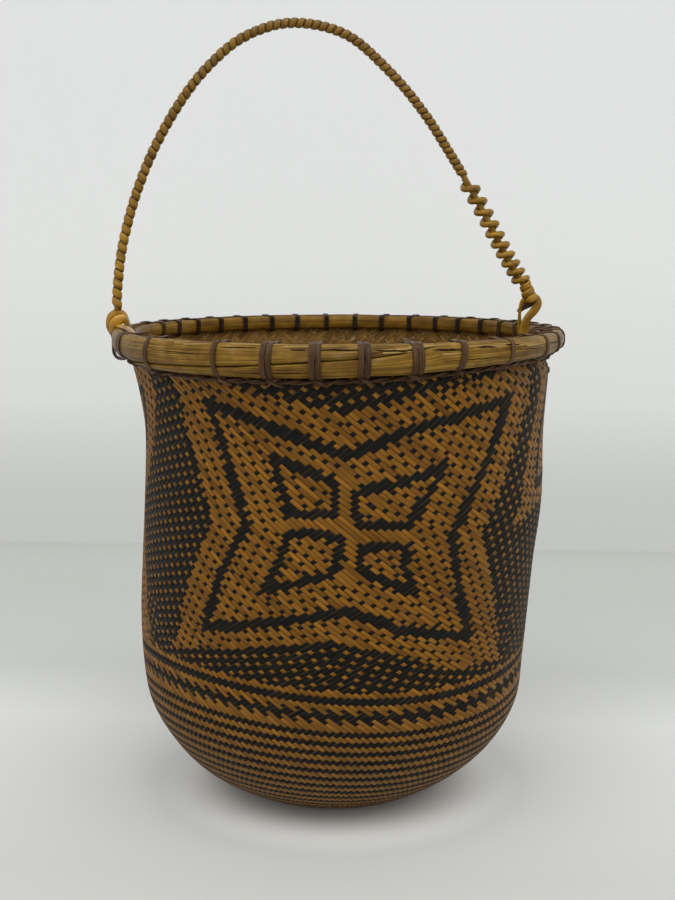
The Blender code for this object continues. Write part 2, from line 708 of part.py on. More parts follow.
def make_right_eye(material, hinge):
    """Flat cane eye: a tail, an arch over the eye, a broad leg, and the pin with its knot."""
    leg = INNER_HOOP_INNER_RADIUS - EYE_LEG_INSET
    wall_radius, lean = wall_at(PIN_AXIS_HEIGHT)
    wall = wall_radius + lean
    knot = wall + SEAT_GAP + PIN_RADIUS
    flat = EYE_THICKNESS / 2
    stations = []
    for across, back, up, breadth in EYE_OUTLINE_SHARES:
        stations.append((leg + EYE_HALF_WIDTH * across, EYE_THICKNESS * back,
                         PIN_AXIS_HEIGHT + EYE_RISE * up, EYE_LEG_WIDTH * breadth / 2, flat))
    for reach, rise, radius in (
        (leg + PIN_BEND / 4, PIN_BEND / 4, PIN_RADIUS),
        (leg + PIN_BEND, 0.0, PIN_RADIUS),
        (wall, 0.0, PIN_RADIUS),
        (knot, 0.0, PIN_KNOT_RADIUS),
        (knot + PIN_KNOT_LENGTH, 0.0, PIN_KNOT_RADIUS),
    ):
        stations.append((reach, 0.0, PIN_AXIS_HEIGHT + rise, radius, radius))
    line = smooth_points([station[:3] for station in stations], 2)
    sizes = smooth_points([(*station[3:], 0.0) for station in stations], 2)
    rings = []
    for (point, _, side, face), size in zip(path_frames(line, Vector((0.0, 1.0, 0.0))), sizes):
        rings.append(oval_ring(point, side, face, size.y, size.x, EYE_SIDES))
    mesh = bmesh.new()
    add_loft(mesh, rings)
    return finish_mesh("handle_right_eye", mesh, material, hinge)


def make_hinge():
    """Empty on the axis the handle swings about: from the loop's bars to the pin."""
    bars = -(LOOP_INNER_LEG + LOOP_OUTER_LEG) / 2
    wall_radius, lean = wall_at(PIN_AXIS_HEIGHT)
    pin = wall_radius + lean - PIN_BEND
    across = Vector((pin - bars, 0.0, PIN_AXIS_HEIGHT - LOOP_AXIS_HEIGHT))
    hinge = bpy.data.objects.new("handle_hinge", None)
    hinge.location = ((bars + pin) / 2, 0.0, (LOOP_AXIS_HEIGHT + PIN_AXIS_HEIGHT) / 2)
    hinge.rotation_euler = (0.0, math.atan2(-across.z, across.x), 0.0)
    bpy.context.scene.collection.objects.link(hinge)
    bpy.context.view_layer.update()
    axis = across.normalized()
    print(f"hinge at {[round(c, 5) for c in hinge.location]} along {[round(c, 5) for c in axis]}")
    return hinge


def build():
    start_clean()
    plaiting = cane_material("plaited_cane", (0.42, 0.22, 0.07), 0.55)
    hoop = cane_material("split_hoop_cane", (0.50, 0.32, 0.12), 0.50)
    fold = cane_material("folded_strands", (0.30, 0.17, 0.07), 0.65)
    lashing = cane_material("dark_lashing_cane", (0.11, 0.06, 0.035), 0.50)
    wrapped = cane_material("handle_cane", (0.38, 0.22, 0.05), 0.42)
    loop = cane_material("loop_cane", (0.55, 0.29, 0.04), 0.32)

    hinge = make_hinge()

    make_woven_body(plaiting)
    make_rim_fold(fold)
    make_outer_hoop(hoop)
    make_inner_hoop(hoop)
    make_rim_cord(lashing)
    make_lashings(lashing)
    make_handle_core(wrapped, hinge)
    make_handle_wrap(wrapped, hinge)
    make_handle_twist(wrapped, hinge)
    make_left_loop(loop, hinge)
    make_right_eye(wrapped, hinge)


build()
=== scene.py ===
"""Plaited rattan basket with a split cane rim and a wrapped bail handle, dressed for the render.

Metres, +Z up, the front is -Y. Angles go round from the front, towards +X.
"""

import math

import bpy
import numpy as np
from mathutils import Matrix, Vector


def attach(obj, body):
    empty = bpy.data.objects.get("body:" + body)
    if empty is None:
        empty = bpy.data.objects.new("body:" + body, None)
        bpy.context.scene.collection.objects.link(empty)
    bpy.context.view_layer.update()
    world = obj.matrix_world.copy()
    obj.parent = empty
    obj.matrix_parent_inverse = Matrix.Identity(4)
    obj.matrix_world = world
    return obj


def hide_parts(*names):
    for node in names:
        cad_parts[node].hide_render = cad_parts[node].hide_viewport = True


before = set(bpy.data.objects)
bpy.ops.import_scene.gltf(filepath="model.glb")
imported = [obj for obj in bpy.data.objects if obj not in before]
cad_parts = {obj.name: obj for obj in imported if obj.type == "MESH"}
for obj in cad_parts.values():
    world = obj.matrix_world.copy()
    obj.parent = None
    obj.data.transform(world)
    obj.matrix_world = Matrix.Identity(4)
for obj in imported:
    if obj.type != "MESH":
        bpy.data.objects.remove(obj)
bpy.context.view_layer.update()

# Wall and base: one plaiting of split cane, 180 natural strands that slant down to the right
# and 180 dyed blue-black ones that slant down to the left. Mostly over four and under one, so
# that stars, a banded belt and twill rows come from which strand shows on top.
WALL_OUTLINE = (
    (0.2419, 0.1059, 0.0), (0.229, 0.1059, 0.0), (0.223, 0.1061, 0.0018),
    (0.2072, 0.104, 0.003), (0.1885, 0.1025, 0.0035), (0.1562, 0.103, 0.0029),
    (0.126, 0.1021, 0.0003), (0.0985, 0.1015, -0.0016), (0.0735, 0.1001, -0.0024),
    (0.0513, 0.0972, -0.002), (0.0323, 0.0874, -0.0018), (0.0169, 0.0733, -0.0025),
    (0.0055, 0.056, -0.0021), (0.0, 0.043, -0.0012),
)
BASE_REACH = 0.07
BASE_RINGS = 45
ROW_STEPS = (
    (0.0, 0.0015), (0.03, 0.0015), (0.054, 0.00142), (0.077, 0.00134), (0.111, 0.00133),
    (0.145, 0.00119), (0.17, 0.00122), (0.192, 0.00142), (0.2, 0.00155),
)
STRAND_THICKNESS = 0.00036
STRAND_RISE = 0.00021
PLAIT_DEPTH = 0.00046
SAG = 0.0045
SAG_DEEPEST = math.radians(30)
COLUMN_SPREAD = 0.1
SPREAD_WIDEST = math.radians(70)
DIP = 0.16


def smooth_line(points, steps):
    """Points on a smooth curve through the given ones, with so many steps between two."""
    given = np.array(points, float)
    padded = np.vstack([given[:1], given, given[-1:]])
    t = np.arange(steps)[:, None] / steps
    found = []
    for a, b, c, d in zip(padded, padded[1:], padded[2:], padded[3:]):
        found.append(0.5 * (2 * b + (c - a) * t + (2 * a - 5 * b + 4 * c - d) * t * t
                            + (3 * b - a - 3 * c + d) * t ** 3))
    return np.vstack([*found, given[-1:]])


def wrapped(degrees):
    """The same angles, between -180 and 180."""
    return (degrees + 180.0) % 360.0 - 180.0


def lengths_along(points):
    return np.concatenate([[0.0], np.cumsum(np.linalg.norm(np.diff(points, axis=0), axis=1))])


wall_line = smooth_line(WALL_OUTLINE, 12)
wall_line = np.vstack([wall_line, [[0.0, 0.0, WALL_OUTLINE[-1][2]]]])
wall_depth = lengths_along(wall_line[:, :2])
wall_depth_end = wall_depth[-1]
fine_depth = np.linspace(0.0, wall_depth_end, 900)
fine_height, fine_radius, fine_lean = (np.interp(fine_depth, wall_depth, wall_line[:, k])
                                       for k in range(3))
blur = np.hanning(15) / np.hanning(15).sum()
down = np.convolve(np.pad(np.gradient(fine_height), 7, mode="edge"), blur, "valid")
out = np.convolve(np.pad(np.gradient(fine_radius), 7, mode="edge"), blur, "valid")
fine_facing = np.stack([-down, out], 1) / np.hypot(down, out)[:, None]


def on_wall(angle, depth, rise):
    """Places at an angle, a distance down the wall from the mouth, and a rise off its middle."""
    radius, height, lean, outward, upward = (np.interp(depth, fine_depth, values) for values in (
        fine_radius, fine_height, fine_lean, fine_facing[:, 0], fine_facing[:, 1]))
    reach = radius + (rise - PLAIT_DEPTH) * outward
    return np.stack([lean + reach * np.sin(angle), -reach * np.cos(angle),
                     height + (rise - PLAIT_DEPTH) * upward], -1)


row_depth = [0.0]
while row_depth[-1] < wall_depth_end - BASE_REACH:
    row_depth.append(row_depth[-1] + np.interp(row_depth[-1], *zip(*ROW_STEPS)))
if len(row_depth) % 2:
    row_depth.pop()
row_depth = np.array(row_depth) * (wall_depth_end - BASE_REACH) / row_depth[-1]
LAST_ROW = len(row_depth) - 1
row_depth = np.concatenate([
    row_depth, wall_depth_end - BASE_REACH * np.arange(BASE_RINGS - 1, -1, -1) / BASE_RINGS
])


def lattice_place(degrees, row):
    """Angle and distance down the wall of a crossing; the rows sag and the columns spread."""
    depth = np.interp(row, np.arange(len(row_depth)), row_depth)
    share = np.interp(depth, (0.0, 0.05, 0.1, wall_depth_end - 0.07, wall_depth_end),
                      (0.4, 0.7, 1.0, 0.9, 0.0))
    turn = np.radians(degrees)
    angle = turn + share * COLUMN_SPREAD * (np.sin(turn - SPREAD_WIDEST) + math.sin(SPREAD_WIDEST))
    return angle, depth + share * SAG * np.cos(2 * (angle - SAG_DEEPEST))


# Each star's middle, as degrees from the front and distance down the wall. The outlines are in
# millimetres from it, to the right and down.
STAR_PLACES = ((0.6, 0.0847), (105.4, 0.0247), (-118.0, 0.0847))
STAR_HALF_DEGREES = 58
STAR_FOOT = 45
MM_PER_DEGREE = 1.787
STAR_OUTER = (
    (-50, -66), (-27, -59), (1, -53), (29, -59), (59, -66), (111, -76), (111, -66), (100, -48),
    (92, -31), (85, -20), (77, -8), (68, 7), (75, 20), (82, 36), (90, 56), (97, 74), (62, 71),
    (29, 61), (1, 52), (-36, 57), (-69, 61), (-95, 67), (-87, 58), (-84, 41), (-78, 26),
    (-73, 13), (-67, -2), (-73, -12), (-81, -33), (-87, -66), (-96, -77),
)
STAR_INNER = (
    (-67, -57), (-20, -41), (0, -34), (29, -46), (85, -57), (74, -33), (51, 5), (62, 39),
    (69, 56), (29, 48), (5, 38), (-30, 44), (-68, 51), (-61, 26), (-48, 0), (-58, -30),
)
STAR_PETALS = (
    ((-36.5, -34.5), (-20.0, -30.4), (-10.2, -25.5), (-3.6, -22.2), (-3.6, -5.8),
     (-27.4, -4.9), (-29.9, -11.5), (-33.2, -19.7)),
    ((2.1, -17.7), (7.9, -21.4), (21.0, -22.7), (30.9, -25.5), (49.8, -32.0), (44.0, -20.5),
     (34.2, -6.6), (30.1, 0.8), (12.8, 0.0), (4.6, 0.0), (2.1, -6.6)),
    ((-27.4, -0.8), (-10.2, 0.0), (-3.6, 1.3), (1.0, 3.3), (0.5, 6.6), (-3.6, 23.0),
     (-10.2, 23.8), (-20.0, 27.1), (-40.6, 32.9), (-32.4, 16.4), (-29.9, 8.2)),
    ((6.2, 6.6), (12.8, 5.8), (30.1, 6.9), (30.9, 11.5), (30.6, 18.1), (39.1, 33.7),
     (21.0, 27.1), (13.6, 23.8), (7.9, 20.5), (5.4, 16.4)),
)
STAR_BARS = ((-3.7, -24, 2.2, 0), (0.8, 0, 7.0, 24), (-27, -5.9, -3, -0.4), (4, 0.6, 30, 6.6))
LINE_HALF = 2.4
PETAL_EDGE = 4.1
BELT_DEPTH = 0.1602
BELT_ROWS = "OOBBBOOEEBBFFOOO"


def within(x, y, outline):
    hit = np.zeros(x.shape, bool)
    for (ax, ay), (bx, by) in zip(outline, outline[1:] + outline[:1]):
        if ay != by:
            hit ^= ((ay > y) != (by > y)) & (x < (bx - ax) * (y - ay) / (by - ay) + ax)
    return hit


def away_from(x, y, outline):
    least = np.full(x.shape, 1e9)
    for (ax, ay), (bx, by) in zip(outline, outline[1:] + outline[:1]):
        dx, dy = bx - ax, by - ay
        t = np.clip(((x - ax) * dx + (y - ay) * dy) / (dx * dx + dy * dy), 0, 1)
        least = np.minimum(least, np.hypot(x - ax - t * dx, y - ay - t * dy))
    return least


def natural_on_top(column, row):
    """True where the natural strand shows outside, for crossings at whole columns and rows."""
    natural, dyed = (column - row) // 2, (column + row) // 2
    falling = (dyed + 2 * natural) % 5 == 0
    rising = (dyed - 2 * natural) % 5 == 0
    angle, depth = lattice_place(column, row)
    found = falling.copy()
    for degrees, middle in STAR_PLACES:
        aside = wrapped(np.degrees(angle) - degrees)
        x, y = aside * MM_PER_DEGREE, (depth - middle) * 1000
        near = np.abs(aside) < STAR_HALF_DEGREES
        foot = near & (x > 0) & (y > STAR_FOOT)
        found[foot] = rising[foot]
        side = np.abs(x) > np.abs(y)
        use_falling = np.where(side, x * y > 0, x * y < 0)
        field = ~np.where(use_falling, falling, rising)
        field[away_from(x, y, STAR_INNER) < LINE_HALF] = False
        for ax, ay, bx, by in STAR_BARS:
            field[(x > ax) & (x < bx) & (y > ay) & (y < by)] = True
        for petal in STAR_PETALS:
            field[within(x, y, petal) & (away_from(x, y, petal) < PETAL_EDGE)] = False
        star = near & within(x, y, STAR_OUTER)
        found[star] = field[star]
    first = int(np.argmin(np.abs(row_depth - BELT_DEPTH)))
    for k in range(first, len(row_depth)):
        kind = BELT_ROWS[k - first] if k - first < len(BELT_ROWS) else \
            "BBOO"[(k - first - len(BELT_ROWS)) % 4]
        even = natural % 2 == 0
        choice = {"O": np.full(even.shape, True), "B": np.full(even.shape, False),
                  "E": even, "F": ~even}[kind]
        found = np.where(row == k, choice, found)
    return found


grid_row, grid_column = np.meshgrid(np.arange(LAST_ROW + 1), np.arange(360), indexing="ij")
wall_pattern = natural_on_top(grid_column, grid_row)
base_row = np.arange(len(row_depth))
base_pattern = natural_on_top(np.zeros(len(row_depth), int), base_row)


def strand_spots(natural, index, t, across):
    """Places on a strand: t counts its crossings from the mouth, across goes to its sides."""
    if natural:
        column, row = 2 * index + t + across, t - across
        last_column = (2 * index + LAST_ROW) % 360
    else:
        column, row = 2 * index - t + across, t + across
        last_column = (2 * index - LAST_ROW) % 360
    column, row = np.broadcast_arrays(column, row)
    quarter, place = divmod(last_column, 90)
    past = np.maximum(t - LAST_ROW, 0.0)
    y = place / 2
    x = BASE_RINGS - y
    if natural:
        x, y = x - past + 0 * across, y + across + 0 * past
    else:
        x, y = x - across + 0 * past, y - past + 0 * across
    rings = np.maximum(x + y, 0.02)
    based = np.broadcast_to(t > LAST_ROW, column.shape)
    turns = 90 * (quarter + np.clip(y, 0, None) / rings)
    turns += 360 * np.round((column - turns) / 360)
    return np.where(based, turns, column), np.where(based, LAST_ROW + BASE_RINGS - rings, row)


def strand_states(natural, index):
    """Whether the strand shows outside at each of its crossings."""
    rows = np.arange(LAST_ROW + 1)
    columns = (2 * index + rows if natural else 2 * index - rows) % 360
    place = (columns[-1] % 90) / 2
    left = (BASE_RINGS - place if natural else place) - 0.5
    below = base_pattern[LAST_ROW + 1:LAST_ROW + 1 + int(left)]
    shows = np.concatenate([wall_pattern[rows, columns], below])
    return shows if natural else ~shows


def mesh_piece(name, strips, across, finish, sharp=40.0, underside=None):
    """One mesh of closed lofted strips. Each strip is (rings, lengths along, number); across
    gives each corner's place from 0 to 1 over the strip's width, for its grain. The side
    between the first two corners may have a finish of its own."""
    across = np.asarray(across, float)
    corners = len(across)
    wrap = np.roll(np.arange(corners), -1)
    places, loops, starts, sides, grain, used = [], [], [], [], [], 0
    loop_count = 0
    for rings, along, number in strips:
        count = len(rings)
        places.append(rings.reshape(-1, 3))
        low = (used + np.arange(count - 1)[:, None] * corners)
        a = low + np.arange(corners)
        b = low + wrap
        quads = np.stack([a, b, b + corners, a + corners], -1).reshape(-1)
        u = np.repeat(along[:-1], corners)
        w = np.repeat(along[1:], corners)
        va, vb = np.tile(across, count - 1), np.tile(across[wrap], count - 1)
        uv = np.stack([u, number + va, u, number + vb, w, number + vb, w, number + va], -1)
        loops += [quads, used + np.arange(corners)[::-1],
                  used + (count - 1) * corners + np.arange(corners)]
        grain += [uv.reshape(-1, 2),
                  np.stack([np.full(corners, along[0]), number + across[::-1]], -1),
                  np.stack([np.full(corners, along[-1]), number + across], -1)]
        sizes = np.concatenate([np.full((count - 1) * corners, 4), [corners, corners]])
        starts.append(loop_count + np.concatenate([[0], np.cumsum(sizes)[:-1]]))
        sides.append(np.concatenate([np.tile(np.arange(corners) == 0, count - 1), [False, False]]))
        loop_count += int(sizes.sum())
        used += count * corners
    places = np.vstack(places)
    loops, starts = np.concatenate(loops), np.concatenate(starts)
    data = bpy.data.meshes.new(name)
    data.vertices.add(len(places))
    data.vertices.foreach_set("co", places.ravel())
    data.loops.add(len(loops))
    data.loops.foreach_set("vertex_index", loops.astype(np.int32))
    data.polygons.add(len(starts))
    data.polygons.foreach_set("loop_start", starts.astype(np.int32))
    data.update(calc_edges=True)
    layer = data.uv_layers.new(name="grain")
    layer.data.foreach_set("uv", np.vstack(grain).ravel())
    rings = strips[0][0]
    middle = rings[0].mean(axis=0)
    ahead = rings[1].mean(axis=0) - middle
    turned = np.cross(rings[0] - middle, np.roll(rings[0], -1, axis=0) - middle).sum(axis=0)
    if turned @ ahead < 0:
        data.flip_normals()
    data.materials.append(finish.material)
    if underside:
        data.materials.append(underside.material)
        data.polygons.foreach_set("material_index", np.concatenate(sides).astype(np.int32))
    data.shade_smooth()
    data.set_sharp_from_angle(angle=math.radians(sharp))
    piece = bpy.data.objects.new(name, data)
    bpy.context.scene.collection.objects.link(piece)
    return piece


def wired(tree, kind, inputs=None, **settings):
    """The outputs of a new shader node; inputs are numbers, colours or other nodes' outputs."""
    node = tree.nodes.new("ShaderNode" + kind)
    for key, value in settings.items():
        setattr(node, key, value)
    for key, value in (inputs or {}).items():
        if isinstance(value, bpy.types.NodeSocket):
            tree.links.new(value, node.inputs[key])
        else:
            node.inputs[key].default_value = (*value, 1.0) if isinstance(value, tuple) else value
    return node.outputs


# cane_fibres: long fibres along a strip, the strip's own tone, slow blotches and its edges,
# all from the grain map (length along, strip number and place across)
cane_fibres = bpy.data.node_groups.new("cane_fibres", "ShaderNodeTree")
for label, value in (("Fibres per metre", 70.0), ("Fibres across", 9.0)):
    socket = cane_fibres.interface.new_socket(label, in_out="INPUT",
                                              socket_type="NodeSocketFloat")
    socket.default_value = value
for label in ("Fibre", "Blotch", "Tone", "Edge"):
    cane_fibres.interface.new_socket(label, in_out="OUTPUT", socket_type="NodeSocketFloat")
BLOTCHES_PER_METRE, BLOTCHES_ACROSS, STRIP_STEP = 90.0, 1.5, 17.31


def group_sum(operation, a, b=0.0):
    return wired(cane_fibres, "Math", {0: a, 1: b}, operation=operation)[0]


def group_noise(per_metre, across, detail, roughness):
    """Noise over a strip, stretched along it and different on each."""
    spot = wired(cane_fibres, "CombineXYZ", {
        0: group_sum("MULTIPLY", grain[0], per_metre), 1: group_sum("MULTIPLY", place, across),
        2: group_sum("MULTIPLY", number, STRIP_STEP)})[0]
    return wired(cane_fibres, "TexNoise", {
        "Vector": spot, "Scale": 1.0, "Detail": detail, "Roughness": roughness})["Fac"]


grain = wired(cane_fibres, "UVMap", uv_map="grain")[0]
grain = wired(cane_fibres, "SeparateXYZ", {0: grain})
number, place = group_sum("FLOOR", grain[1]), group_sum("FRACT", grain[1])
asked = cane_fibres.nodes.new("NodeGroupInput").outputs
given = cane_fibres.nodes.new("NodeGroupOutput").inputs
for socket, value in (
    ("Fibre", group_noise(asked[0], asked[1], 3.0, 0.6)),
    ("Blotch", group_noise(BLOTCHES_PER_METRE, BLOTCHES_ACROSS, 2.0, 0.5)),
    ("Tone", wired(cane_fibres, "TexWhiteNoise", {"W": number}, noise_dimensions="1D")["Value"]),
    ("Edge", group_sum("MULTIPLY", group_sum("ABSOLUTE", group_sum("SUBTRACT", place, 0.5)), 2.0)),
):
    cane_fibres.links.new(value, given[socket])


class Finish:
    """A material whose nodes are made in a few words, with a shader and the fibre group."""

    def __init__(self, name, roughness, gloss, coat=0.0, coat_roughness=0.2):
        self.material = bpy.data.materials.new(name)
        self.material.use_nodes = True
        self.tree = self.material.node_tree
        self.shader = self.tree.nodes["Principled BSDF"]
        for socket, value in (("Roughness", roughness), ("Specular IOR Level", gloss),
                              ("Coat Weight", coat), ("Coat Roughness", coat_roughness)):
            self.shader.inputs[socket].default_value = value

    def fibres(self, per_metre, across):
        """The outputs of the fibre group, with so many fibres along a metre and across."""
        return wired(self.tree, "Group", {"Fibres per metre": per_metre, "Fibres across": across},
                     node_tree=cane_fibres)

    def spot(self):
        """The outputs X, Y and Z of the place on the piece, in metres."""
        return wired(self.tree, "SeparateXYZ", {0: wired(self.tree, "TexCoord")["Object"]})

    def sum(self, operation, total, *values):
        """Two or more values taken together, one after the other, by an operation."""
        for value in values:
            total = wired(self.tree, "Math", {0: total, 1: value}, operation=operation)[0]
        return total

    def mixed(self, *shares):
        """The sum of pairs of an output and its share."""
        return self.sum("ADD", *[self.sum("MULTIPLY", *pair) for pair in shares])

    def between(self, value, low, high, start=0.0, end=1.0):
        """Goes smoothly from start to end as the value goes from low to high."""
        return wired(self.tree, "MapRange", {0: value, 1: low, 2: high, 3: start, 4: end},
                     interpolation_type="SMOOTHSTEP")[0]

    def ramp(self, value, stops):
        output = wired(self.tree, "ValToRGB", {0: value})[0]
        marks = output.node.color_ramp.elements
        for k, (place, colour) in enumerate(stops):
            mark = marks[k] if k < 2 else marks.new(place)
            mark.position = place
            mark.color = (*colour, 1.0)
        return output

    def blend(self, share, first, second, way="MIX"):
        return wired(self.tree, "Mix", {0: share, 6: first, 7: second},
                     data_type="RGBA", blend_type=way)[2]

    def toned(self, body, tone, stops):
        """The body's colour times a ramp over each strip's own tone."""
        return self.blend(1.0, body, self.ramp(tone, stops), "MULTIPLY")

    def colour(self, output):
        self.tree.links.new(output, self.shader.inputs["Base Color"])

    def bump(self, height, distance, strength):
        normal = wired(self.tree, "Bump", {"Distance": distance, "Strength": strength,
                                           "Height": height})[0]
        self.tree.links.new(normal, self.shader.inputs["Normal"])


look = natural_cane = Finish("natural_strands", 0.52, 0.14)
fibre, blotch, tone, edge = look.fibres(60, 8)
fine, (x, y, z) = look.fibres(28, 24)[0], look.spot()
body = look.ramp(look.mixed((fibre, 0.42), (blotch, 0.33), (fine, 0.25)), (
    (0.33, (0.1, 0.038, 0.0025)), (0.5, (0.205, 0.084, 0.006)), (0.67, (0.33, 0.15, 0.016))))
body = look.toned(body, tone, (
    (0.0, (0.66, 0.63, 0.6)), (0.5, (0.95, 0.95, 0.94)), (1.0, (1.18, 1.16, 1.1))))
# Greyer towards the bottom and the right: partly dust and wear, partly a painted sheen, the pale table
# reflected in the low bands.
dust_and_sheen = look.sum("MAXIMUM", look.between(z, 0.085, 0.02, 0.0, 0.42), look.between(x, 0.06, 0.11, 0.0, 0.4))
# Pale flecks towards the edges: painted highlights, where fibres catch the light.
split = look.sum("MULTIPLY", look.between(fine, 0.6, 0.68), look.between(edge, 0.45, 0.75, 0.0, 0.55))
body = look.blend(split, look.blend(dust_and_sheen, body, (0.225, 0.125, 0.042)), (0.36, 0.235, 0.095))
# Painted shade: the strands' edges go near black, for the dark gaps between them.
look.colour(look.blend(look.between(edge, 0.84, 0.97, 0.0, 0.85), body, (0.012, 0.006, 0.003)))
look.bump(fibre, 0.0001, 0.7)

look = dyed_cane = Finish("dyed_strands", 0.58, 0.11)
fibre, blotch, tone, edge = look.fibres(45, 12)
fine, (x, y, z) = look.fibres(22, 26)[0], look.spot()
body = look.ramp(fibre, (
    (0.35, (0.002, 0.002, 0.0014)), (0.58, (0.0066, 0.0068, 0.0052)),
    (0.72, (0.024, 0.021, 0.015))))
rubbed = look.sum("MAXIMUM", look.between(z, 0.12, 0.03, 0.45, 1.0), look.between(x, 0.02, 0.1, 0.45, 1.0))
worn = look.sum("MULTIPLY", look.between(edge, 0.52, 0.8), look.between(fine, 0.5, 0.6),
                look.between(blotch, 0.36, 0.58), rubbed)
body = look.blend(worn, body, (0.155, 0.088, 0.034))
# Painted shade: the strands' edges go darker still, for the gaps between them.
look.colour(look.blend(look.between(edge, 0.9, 1.0, 0.0, 0.8), body, (0.003, 0.002, 0.0015)))
look.bump(fibre, 0.00008, 0.6)

# The strands' inner sides were never dyed. Specks of daylight through small gaps where they cross are
# painted on them.
look = inner_side = Finish("undyed_inner_sides", 0.65, 0.15)
fibre, blotch, tone, edge = look.fibres(60, 8)
speck = look.fibres(420, 2.5)[0]
body = look.toned(look.ramp(fibre, (
    (0.32, (0.15, 0.08, 0.018)), (0.52, (0.33, 0.19, 0.048)), (0.72, (0.48, 0.31, 0.1))
)), tone, ((0.0, (0.6, 0.58, 0.55)), (1.0, (1.2, 1.15, 1.1))))
# Painted light: pale specks towards the edges stand for daylight seen through the crossings.
painted_daylight_specks = look.sum("MULTIPLY", look.between(speck, 0.64, 0.68), look.between(edge, 0.3, 0.5))
look.colour(look.blend(painted_daylight_specks, body, (0.75, 0.74, 0.7)))
look.bump(fibre, 0.0001, 0.6)

STRAND_SECTION = np.array([
    (-0.44, -0.5), (0.44, -0.5), (0.475, 0.0), (0.37, 0.5), (-0.37, 0.5), (-0.475, 0.0)
])
# Widths are shares of the lattice's step
NATURAL_WIDTH, DYED_WIDTH, WIDTH_SPREAD, WIDTH_UNDER = 1.0, 1.035, 0.02, 0.985
SHIFT_SPREAD = 0.012
CROWN_RANGE = (0.00002, 0.00007)
STRANDS_PER_PIECE = 45
chance = np.random.default_rng(27)


def plaited_strand(natural, index):
    """Rings of one strand from the mouth into the base, dipping under and over the others."""
    shows = strand_states(natural, index)
    edges = np.flatnonzero(np.diff(shows.astype(int))) + 1
    runs = np.split(np.arange(len(shows)), edges)
    spots, rises, widths = [], [], []
    width = (NATURAL_WIDTH if natural else DYED_WIDTH) + chance.normal(0.0, WIDTH_SPREAD)
    shift = chance.normal(0.0, SHIFT_SPREAD)
    for run in runs:
        side = 1 if shows[run[0]] else -1
        start, end = run[0] - 0.5 + DIP, run[-1] + 0.5 - DIP
        steps = 1 if len(run) < 3 else 2 + (len(run) - 3) // 3
        crown = chance.uniform(*CROWN_RANGE)
        for k in range(steps + 1):
            spots.append(start + (end - start) * k / steps)
            middle = 0 < k < steps
            rises.append(side * (STRAND_RISE + (crown if middle else 0.0)))
            widths.append(width * (1.0 if middle else WIDTH_UNDER))
    t = np.array(spots)[:, None]
    across = STRAND_SECTION[None, :, 0] * np.array(widths)[:, None] + shift
    rise = np.array(rises)[:, None] + STRAND_SECTION[None, :, 1] * STRAND_THICKNESS
    degrees, row = strand_spots(natural, index, t, across)
    angle, depth = lattice_place(degrees, row)
    rings = on_wall(angle, depth, rise)
    return rings, lengths_along(rings.mean(axis=1)), index % STRANDS_PER_PIECE + 1


for family, finish in ((True, natural_cane), (False, dyed_cane)):
    for part in range(4):
        strips = [plaited_strand(family, part * STRANDS_PER_PIECE + k)
                  for k in range(STRANDS_PER_PIECE)]
        name = ("natural" if family else "dyed") + f"_strands_{part + 1}"
        piece = mesh_piece(name, strips, (0.08, 0.92, 0.97, 0.86, 0.14, 0.03),
                           finish, underside=inner_side)
        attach(piece, "basket")
        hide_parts("woven_body")

# Strand ends at the mouth: they are turned over outwards and down, and the outer hoop clamps
# them. Each fold is a flat cane end, bent tight over and laid a little aslant.
FOLD_INNER = 0.1066
FOLD_OUTER = 0.1092
FOLD_FOOTS = ((0.0, 0.2298), (30.0, 0.2318), (60.0, 0.2342), (90.0, 0.2352), (180.0, 0.2352))
FOLD_TOP = 0.2411
FOLD_COUNT = 150
FOLD_OPENING_DEGREES = 12.5
FOLD_WIDTH = 0.004
FOLD_THICKNESS = 0.0005


def turned(radius, degrees, height, lean=0.0):
    """Places at an angle from the front, for single values or arrays."""
    turn = np.radians(degrees)
    return np.stack(np.broadcast_arrays(
        lean + radius * np.sin(turn), -radius * np.cos(turn), height), -1)


def swept_strip(line, side_hints, section, width, thickness):
    """Rings of a section of (across, up) corners carried along a line. The side lies as near
    the hint as the line lets it, and up is the line's left of it."""
    line = np.asarray(line, float)
    ahead = np.gradient(line, axis=0)
    ahead /= np.linalg.norm(ahead, axis=1)[:, None]
    hints = np.broadcast_to(np.asarray(side_hints, float), line.shape)
    side = hints - ahead * (hints * ahead).sum(axis=1)[:, None]
    side /= np.linalg.norm(side, axis=1)[:, None]
    face = np.cross(ahead, side)
    section = np.asarray(section, float)
    wide = np.broadcast_to(np.asarray(width, float), len(line))[:, None, None]
    thick = np.broadcast_to(np.asarray(thickness, float), len(line))[:, None, None]
    return (line[:, None, :] + side[:, None, :] * section[None, :, 0, None] * wide
            + face[:, None, :] * section[None, :, 1, None] * thick)


FLAT_SECTION = (
    (-0.46, -0.5), (0.46, -0.5), (0.5, -0.2), (0.47, 0.28), (0.25, 0.5), (-0.25, 0.5),
    (-0.47, 0.28), (-0.5, -0.2),
)
FLAT_ACROSS = (0.06, 0.94, 0.98, 0.95, 0.75, 0.25, 0.05, 0.02)
ROUND_SECTION = [(0.5 * math.cos(a), 0.5 * math.sin(a)) for a in np.radians(np.arange(0, 360, 45))]
ROUND_ACROSS = (0.95, 0.8, 0.5, 0.2, 0.05, 0.2, 0.5, 0.8)
CIRCLE = np.radians(np.arange(0, 360, 22.5))
ROUNDED_SECTION = [(0.5 * np.sign(c) * abs(c) ** 0.7, 0.5 * np.sign(s) * abs(s) ** 0.8)
                   for c, s in zip(np.cos(CIRCLE), np.sin(CIRCLE))]
ROUNDED_ACROSS = 0.5 + 0.46 * np.cos(CIRCLE)


def single_strip(name, line, side_hints, width, thickness, number, finish, shape="rounded"):
    """A piece of one strip, round or flat with rounded sides."""
    section, across = ((ROUNDED_SECTION, ROUNDED_ACROSS) if shape == "rounded"
                       else (ROUND_SECTION, ROUND_ACROSS))
    rings = swept_strip(line, side_hints, section, width, thickness)
    return mesh_piece(name, [(rings, lengths_along(line), number)], across, finish, 60)


